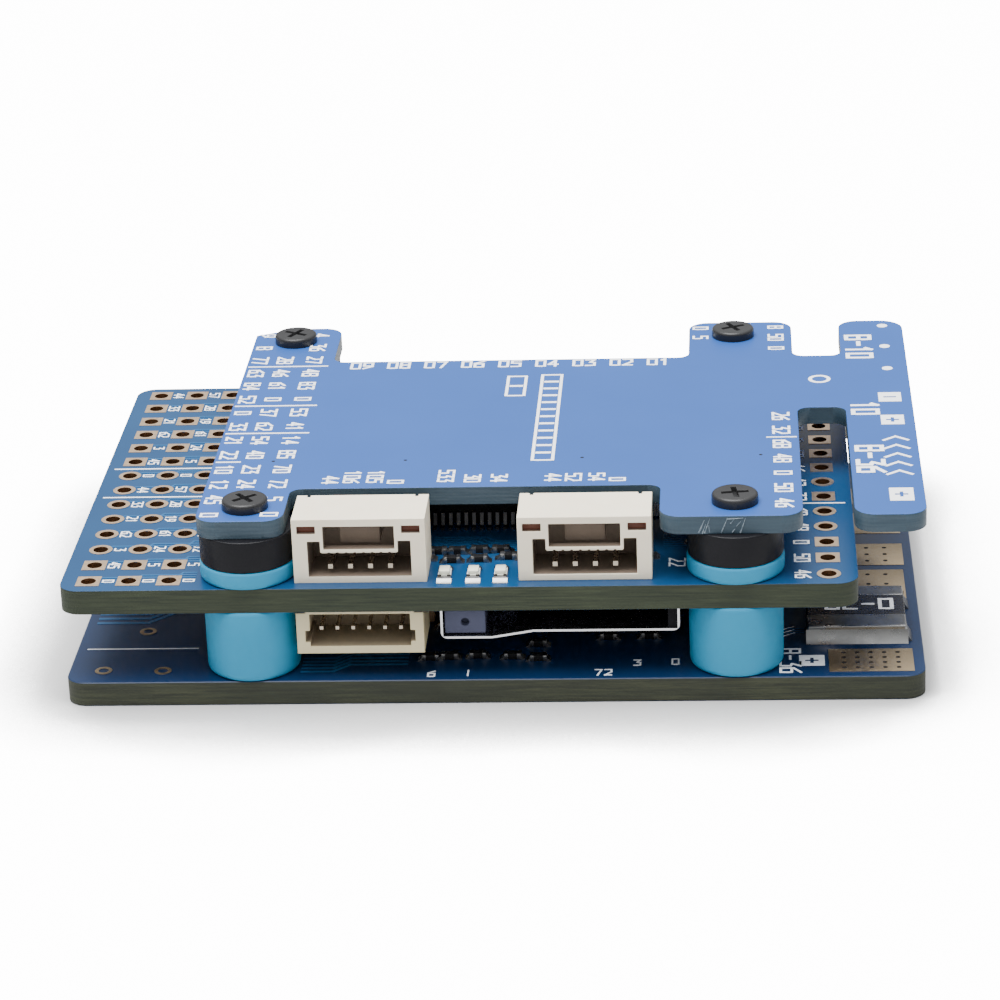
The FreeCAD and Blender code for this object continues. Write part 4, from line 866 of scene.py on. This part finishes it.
def chip_part(bodies, ends, low, high, axis, cap, level):
    """A two-ended chip: a body, plated ends and a solder bead at each end."""
    box_mesh(bodies, low, high, 0.03)
    along, across = (1, 0) if axis == "y" else (0, 1)
    wide = high[across] - low[across]
    for side in (-1, 1):
        end_low, end_high = list(low), list(high)
        outer = high[along] if side > 0 else low[along]
        end_low[along], end_high[along] = sorted((outer - side * cap, outer + side * 0.03))
        end_low[across] -= 0.02
        end_high[across] += 0.02
        end_high[2] += 0.02
        box_mesh(ends, end_low, end_high, 0.035)
        middle = [(a + b) / 2 for a, b in zip(low, high)]
        middle[along] = outer + side * 0.02
        solder_wedge(ends, middle, cap * 1.3, wide * 1.15, level, (high[2] - level) * 0.8, axis, side)


def islands(node):
    """The separate boxes of a node made of many small solids, in millimetres."""
    mesh = bmesh.new()
    mesh.from_mesh(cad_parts[node].data)
    bmesh.ops.remove_doubles(mesh, verts=mesh.verts, dist=1e-7)
    left = set(mesh.verts)
    boxes = []
    while left:
        queue = [left.pop()]
        found = list(queue)
        while queue:
            for edge in queue.pop().link_edges:
                for vert in edge.verts:
                    if vert in left:
                        left.remove(vert)
                        queue.append(vert)
                        found.append(vert)
        low = [min(vert.co[axis] for vert in found) / MM for axis in range(3)]
        high = [max(vert.co[axis] for vert in found) / MM for axis in range(3)]
        boxes.append((low, high))
    mesh.free()
    return sorted(boxes)


def chip_parts(node, finish, cap):
    """Detailed two-ended chips where a node's plain boxes are."""
    bodies = bmesh.new()
    ends = bmesh.new()
    for low, high in islands(node):
        chip_part(bodies, ends, low, high, "x", cap, low[2])
    made = piece(node + "_bodies", bodies, finish)
    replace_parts(made, node)
    piece(node + "_ends", ends, "tin")


def status_lights():
    """Front lights: white base, domed resin and silvered ends with dark corner marks."""
    bases = bmesh.new()
    lenses = bmesh.new()
    ends = bmesh.new()
    marks = bmesh.new()
    for low, high in islands("status_leds"):
        base_high = [high[0], high[1], low[2] + 0.28]
        chip_part(bases, ends, low, base_high, "y", 0.3, low[2])
        lens_low = (low[0] + 0.06, low[1] + 0.38, base_high[2])
        box_mesh(lenses, lens_low, (high[0] - 0.06, high[1] - 0.38, high[2]), 0.07)
        for side in (low[0] + 0.1, high[0] - 0.1):
            prism(marks, circle_points((side, low[1] + 0.2), 0.12, 14), base_high[2] + 0.015,
                  base_high[2] + 0.06)
    made = piece("status_leds_bases", bases, "led_body")
    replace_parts(made, "status_leds")
    piece("status_leds_lenses", lenses, "led_lens")
    piece("status_leds_ends", ends, "tin")
    piece("status_leds_marks", marks, "painted_hole_shade_and_marks")


def shunt_detail():
    """Current shunt: coated element, soldered caps and a printed value."""
    softened("current_shunt_body", "shunt_coat", 0.07)
    softened("current_shunt_terminals", "tin", 0.1, 3)
    solder = bmesh.new()
    low, high = span_mm("current_shunt_terminals")
    middle_x = (low[0] + high[0]) / 2
    solder_wedge(solder, (middle_x, low[1]), 0.42, high[0] - low[0] + 0.2, POWER_TOP, 0.85, "y", -1)
    solder_wedge(solder, (middle_x, high[1]), 0.25, high[0] - low[0] + 0.2, POWER_TOP, 0.7, "y", 1)
    solder_wedge(solder, (high[0], low[1] + 0.85), 0.35, 1.7, POWER_TOP, 0.8, "x", 1)
    solder_wedge(solder, (high[0], high[1] - 0.7), 0.35, 1.4, POWER_TOP, 0.8, "x", 1)
    piece("current_shunt_solder", solder, "tin")
    value = bmesh.new()
    body_low, body_high = span_mm("current_shunt_body")
    middle = (body_high[0] - 2.9, (body_low[1] + body_high[1]) / 2)
    label(value, "0-20", middle, 1.5, body_high[2], 180.0, 0.16)
    piece("current_shunt_value", value, "ink")


def coil_detail():
    """Power inductors: pressed blocks with a shallow marking and plated ends."""
    ends = bmesh.new()
    marks = bmesh.new()
    for name, value in (("main", "100"), ("servo", "47"), ("video", "68")):
        node = "power_inductor_" + name
        softened(node, "ferrite", 0.18, 3)
        low, high = span_mm(node)
        for side in (low[0], high[0]):
            end_low = (side - 0.06, low[1] + 2.0, low[2])
            box_mesh(ends, end_low, (side + 0.06, high[1] - 2.0, low[2] + 1.3), 0.04)
        label(marks, value, centre(low, high), 1.6, high[2], 0.0, 0.14)
    piece("power_inductor_ends", ends, "tin")
    piece("power_inductor_marks", marks, "ink")


def package_marks():
    """Pin-one dimples and plain number lines on the chips."""
    dimples = bmesh.new()
    marks = bmesh.new()
    for node, text in (("mcu_chip", "00-12"), ("osd_chip", "0034"), ("can_transceiver_chip", "0056")):
        low, high = span_mm(node)
        corner = (low[0] + 0.75, low[1] + 0.75)
        prism(dimples, circle_points(corner, 0.3, 24), high[2] - 0.01, high[2] + 0.006)
        size = min(1.1, (high[0] - low[0]) / 9)
        label(marks, text, centre(low, high), size, high[2], 0.0, 0.12)
    piece("chip_dimples", dimples, "ferrite")
    piece("chip_numbers", marks, "ferrite")


# --- connectors ---

def connector_finish(prefix, finish, shade):
    """A moulded shroud with eased edges and painted shade in its openings, and plated pins and tabs."""
    shade_inside(softened(prefix + "_housing", finish, 0.05), shade, 0.2, 0.3)
    repaint(prefix + "_pins", "pin")
    repaint(prefix + "_tabs", "tin")


def upright_connector(prefix):
    """A four-way connector on the upper board, with solder at its feet and its latch parts."""
    connector_finish(prefix, "ivory", "painted_shade_ivory")
    low, high = span_mm(prefix + "_housing")
    middle, half = centre(low, high)[0], (high[0] - low[0]) / 2
    solder = bmesh.new()
    for tab_low, tab_high in islands(prefix + "_tabs"):
        side = 1 if tab_low[0] > middle else -1
        outer = tab_high[0] if side > 0 else tab_low[0]
        foot = (outer, (tab_low[1] + tab_high[1]) / 2)
        solder_wedge(solder, foot, 0.22, tab_high[1] - tab_low[1], FC_TOP, 0.22, "x", side)
    for pin_low, pin_high in islands(prefix + "_pins"):
        foot = ((pin_low[0] + pin_high[0]) / 2, pin_high[1])
        solder_wedge(solder, foot, 0.25, 0.42, FC_TOP, 0.24, "y", 1)
    piece(prefix + "_solder", solder, "tin")
    latch_detail(prefix, low[1], low[2], middle, half)


def latch_detail(prefix, front, base, middle, half):
    """Painted shade at the backs of the side slots as dark boxes, the scalloped lip of the window frame, and
    the latch bar inside in ivory with painted shade.
    """
    # Dark boxes at the backs of the side slots: painted shade.
    painted_slot_shade = bmesh.new()
    for side in (-1, 1):
        across = middle + side * (half - 0.895)
        pocket_low = (across - 0.56, front + 0.3, base + 3.31)
        box_mesh(painted_slot_shade, pocket_low, (across + 0.56, front + 0.5, base + 3.79))
    piece(prefix + "_painted_shade_pockets", painted_slot_shade, "painted_shade_latch")
    lip = bmesh.new()
    for index in range(9):
        across = middle - 2.16 + 0.54 * index
        tooth_low = (across - 0.21, front + 0.02, base + 1.98)
        box_mesh(lip, tooth_low, (across + 0.21, front + 0.2, base + 2.1), 0.05)
    piece(prefix + "_lip", lip, "ivory")
    # The latch bar is in ivory with painted shade.
    bar = bmesh.new()
    box_mesh(bar, (middle - 1.25, front + 1.0, base + 2.3), (middle + 1.25, front + 3.2, base + 3.5), 0.05)
    piece(prefix + "_latch_bar", bar, "painted_shade_ivory")


# --- stack hardware ---

# Radii of the grommets and collars, and the top of the grommets' bore, in millimetres.
BORE, BORE_TOP = 1.5, 5.4
NECK, BARREL, FLANGE = 1.95, 2.95, 3.05
STEM_BORE, STEM, PILOT, COLLAR = 1.2, 1.15, 0.83, 3.0
PILOT_DEEP = 2.0


def turned_part(node, middle, profile, rounding, finish):
    """A turned piece with rounded rims that stands for a node."""
    mesh = bmesh.new()
    lathe(mesh, middle, round_profile(profile, rounding))
    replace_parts(piece(node + "_finished", mesh, finish, smooth=50.0), node)


def grommets_and_collars():
    """Turned soft grommets and hard collars with rounded rims."""
    for corner in ("front_left", "front_right", "rear_left", "rear_right"):
        low, high = span_mm("grommet_" + corner)
        middle = centre(low, high)
        flange = high[2]
        profile = [(BORE, 0.0), (NECK, 0.0), (NECK, POWER_TOP), (BARREL, POWER_TOP), (BARREL, FC_BASE),
                   (NECK, FC_BASE), (NECK, FC_TOP), (FLANGE, FC_TOP), (FLANGE, flange), (STEM_BORE, flange),
                   (STEM_BORE, BORE_TOP), (BORE, BORE_TOP)]
        turned_part("grommet_" + corner, middle, profile, {3: 0.4, 4: 0.25, 7: 0.3, 8: 0.22}, "silicone")
        low, high = span_mm("spacer_collar_" + corner)
        profile = [(PILOT, low[2] + PILOT_DEEP), (STEM, low[2]), (STEM, flange), (COLLAR, flange),
                   (COLLAR, high[2]), (PILOT, high[2])]
        turned_part("spacer_collar_" + corner, middle, profile, {3: 0.12, 4: 0.14}, "nylon")


def return_spring():
    """The slider's return spring, which on the real slot shortens towards its rear end as the slider is
    pushed in; here a steel copy of the CAD coil with a mesh of its own.
    """
    mesh = bmesh.new()
    mesh.from_mesh(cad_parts["sd_slot_spring"].data)
    bmesh.ops.scale(mesh, vec=(1 / MM, 1 / MM, 1 / MM), verts=mesh.verts)
    made = piece("sd_slot_spring_coil", mesh, "steel", smooth=60.0)
    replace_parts(made, "sd_slot_spring")
    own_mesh(made)


def easy_edges():
    """Eased copies of the hard parts, each in its own finish."""
    softened("fc_board", "fc_mask", 0.05, 1)
    softened("power_board", "power_mask", 0.05, 1)
    softened("top_cover_plate", "cover_mask", 0.09, 2)
    softened("cover_screws", "screw", 0.05)
    for node, edge in (("mcu_chip", 0.08), ("osd_chip", 0.06), ("can_transceiver_chip", 0.06),
                       ("imu_chips", 0.04), ("buck_chips", 0.06), ("tvs_diode", 0.08)):
        softened(node, "epoxy", edge)
    softened("barometer_lid", "steel", 0.12, 3)
    softened("crystal_can", "steel", 0.1, 3)
    for node, edge in (("board_link_socket", 0.05), ("board_link_header", 0.05), ("boot_button_frame", 0.06)):
        softened(node, "epoxy", edge)
    softened("boot_button_plunger", "ivory", 0.08, 3, body=BUTTON)
    softened("sd_slot_slider", "slot_plastic", 0.06, body=SLIDER)
    return_spring()
    softened("sd_slot_base", "slot_dark", 0.03)
    softened("power_capacitors", "ceramic", 0.08)
    # Chip leads in tin darkened as painted shade.
    for node in ("mcu_leads", "osd_leads", "can_transceiver_leads", "buck_leads"):
        repaint(node, "painted_shade_lead_tin")
    repaint("sd_slot_shell", "steel")
    repaint("sd_slot_contacts", "pin")
    repaint("tvs_terminals", "tin")
    repaint("board_link_pins", "pin")
    repaint("boot_button_dome", "steel")


# --- stage ---

CAMERA_PLACE = Vector((15.226, -226.915, 98.706)) * MM
CAMERA_YAW = 3.9255
CAMERA_DOWN = 22.094
CAMERA_ROLL = -2.1614
CAMERA_LENS = 132.84

# Brightness of the floor to the eye, and of the room overhead and at the horizon.
FLOOR_GLOW = 13.0
OVERHEAD = 1.6
HORIZON = 0.2
# The floor's half width and its two levels in millimetres, and how far and how deep the painted shadow round
# the stack reaches.
FLOOR_HALF = 1500
FLOOR_LOW, FLOOR_TOP = -2.0, -0.02
SHADE_REACH = 0.010
SHADE_DEPTH = 12.0
# The key light's place and width in metres, and its power in watts.
KEY_PLACE = (-0.06, -0.03, 0.45)
KEY_WIDE = 0.35
KEY_POWER = 5.5


def camera():
    """The camera, from its place, its turn, its tilt down and its roll."""
    yaw, down, roll = (math.radians(angle) for angle in (CAMERA_YAW, CAMERA_DOWN, CAMERA_ROLL))
    ahead = Vector((-math.sin(yaw) * math.cos(down), math.cos(yaw) * math.cos(down), -math.sin(down)))
    right = Vector((math.cos(yaw), math.sin(yaw), 0.0))
    up = right.cross(ahead)
    turned_right = right * math.cos(roll) + up * math.sin(roll)
    turned_up = up * math.cos(roll) - right * math.sin(roll)
    data = bpy.data.cameras.new("camera")
    data.lens = CAMERA_LENS
    data.sensor_width = 36.0
    data.clip_start = 0.01
    made = bpy.data.objects.new("camera", data)
    bpy.context.scene.collection.objects.link(made)
    axes = Matrix((turned_right, turned_up, -ahead)).transposed()
    made.matrix_world = Matrix.Translation(CAMERA_PLACE) @ axes.to_4x4()
    bpy.context.scene.camera = made


def key_light():
    """A broad soft light overhead, pointed at the stack."""
    data = bpy.data.lights.new("key", "AREA")
    data.size = KEY_WIDE
    data.energy = KEY_POWER
    made = bpy.data.objects.new("key", data)
    bpy.context.scene.collection.objects.link(made)
    made.location = KEY_PLACE
    made.rotation_euler = (-Vector(KEY_PLACE)).to_track_quat("-Z", "Y").to_euler()


def floor_material():
    """A pale floor, bright to the eye as a lit paper sweep is, with a painted soft shadow where the stack
    stands: its glow dims with ambient occlusion.
    """
    material, wiring, shader = new_material("floor", {"Base Color": rgb(0.50, 0.50, 0.50), "Roughness": 0.7})
    # Painted shadow: the glow is dimmed by ambient occlusion near the stack.
    shade = wiring.add("ShaderNodeAmbientOcclusion", {"Distance": SHADE_REACH}, samples=16).outputs["AO"]
    glow = wiring.maths("MULTIPLY", wiring.maths("POWER", shade, SHADE_DEPTH), FLOOR_GLOW)
    seen = wiring.add("ShaderNodeLightPath").outputs["Is Camera Ray"]
    shader.inputs["Emission Color"].default_value = rgb(1.0, 1.0, 1.0)
    material.node_tree.links.new(wiring.maths("MULTIPLY", glow, seen), shader.inputs["Emission Strength"])
    return material


def surroundings():
    """A studio room: bright overhead, dimmer towards the horizon, and white where it is seen directly."""
    world = bpy.data.worlds.new("surroundings")
    bpy.context.scene.world = world
    world.use_nodes = True
    wiring = Wiring(world.node_tree)
    back = world.node_tree.nodes["Background"]
    where = wiring.add("ShaderNodeTexCoord").outputs["Generated"]
    rise = wiring.add("ShaderNodeSeparateXYZ", {0: where}).outputs[2]
    light = wiring.maths("ADD", wiring.maths("MULTIPLY", wiring.ramp(rise, 0.05, 0.85), OVERHEAD), HORIZON)
    seen = wiring.add("ShaderNodeLightPath").outputs["Is Camera Ray"]
    extra = wiring.maths("MULTIPLY", seen, FLOOR_GLOW)
    back.inputs[0].default_value = rgb(0.98, 0.99, 1.0)
    world.node_tree.links.new(wiring.maths("ADD", light, extra), back.inputs[1])


def stage():
    """Plain pale floor, white surroundings and a soft key light."""
    mesh = bmesh.new()
    corners = [(-FLOOR_HALF, -FLOOR_HALF), (FLOOR_HALF, -FLOOR_HALF), (FLOOR_HALF, FLOOR_HALF),
               (-FLOOR_HALF, FLOOR_HALF)]
    prism(mesh, corners, FLOOR_LOW, FLOOR_TOP)
    data = bpy.data.meshes.new("floor")
    bmesh.ops.scale(mesh, vec=(MM, MM, MM), verts=mesh.verts)
    mesh.to_mesh(data)
    mesh.free()
    floor = bpy.data.objects.new("floor", data)
    bpy.context.scene.collection.objects.link(floor)
    data.materials.append(floor_material())
    surroundings()
    key_light()


def main():
    """Dress the CAD parts, then set the camera and the stage."""
    easy_edges()
    pads()
    power_pads()
    test_pads()
    traces()
    cover_prints()
    board_prints()
    frayed_tabs()
    chip_parts("led_resistors", "epoxy", 0.22)
    chip_parts("fc_passives", "epoxy", 0.28)
    chip_parts("power_passives", "epoxy", 0.22)
    status_lights()
    shunt_detail()
    coil_detail()
    package_marks()
    upright_connector("can_connector")
    upright_connector("sensor_connector")
    connector_finish("usb_cable_connector", "cream", "painted_shade_cream")
    grommets_and_collars()
    camera()
    stage()


main()
bpy.context.view_layer.update()
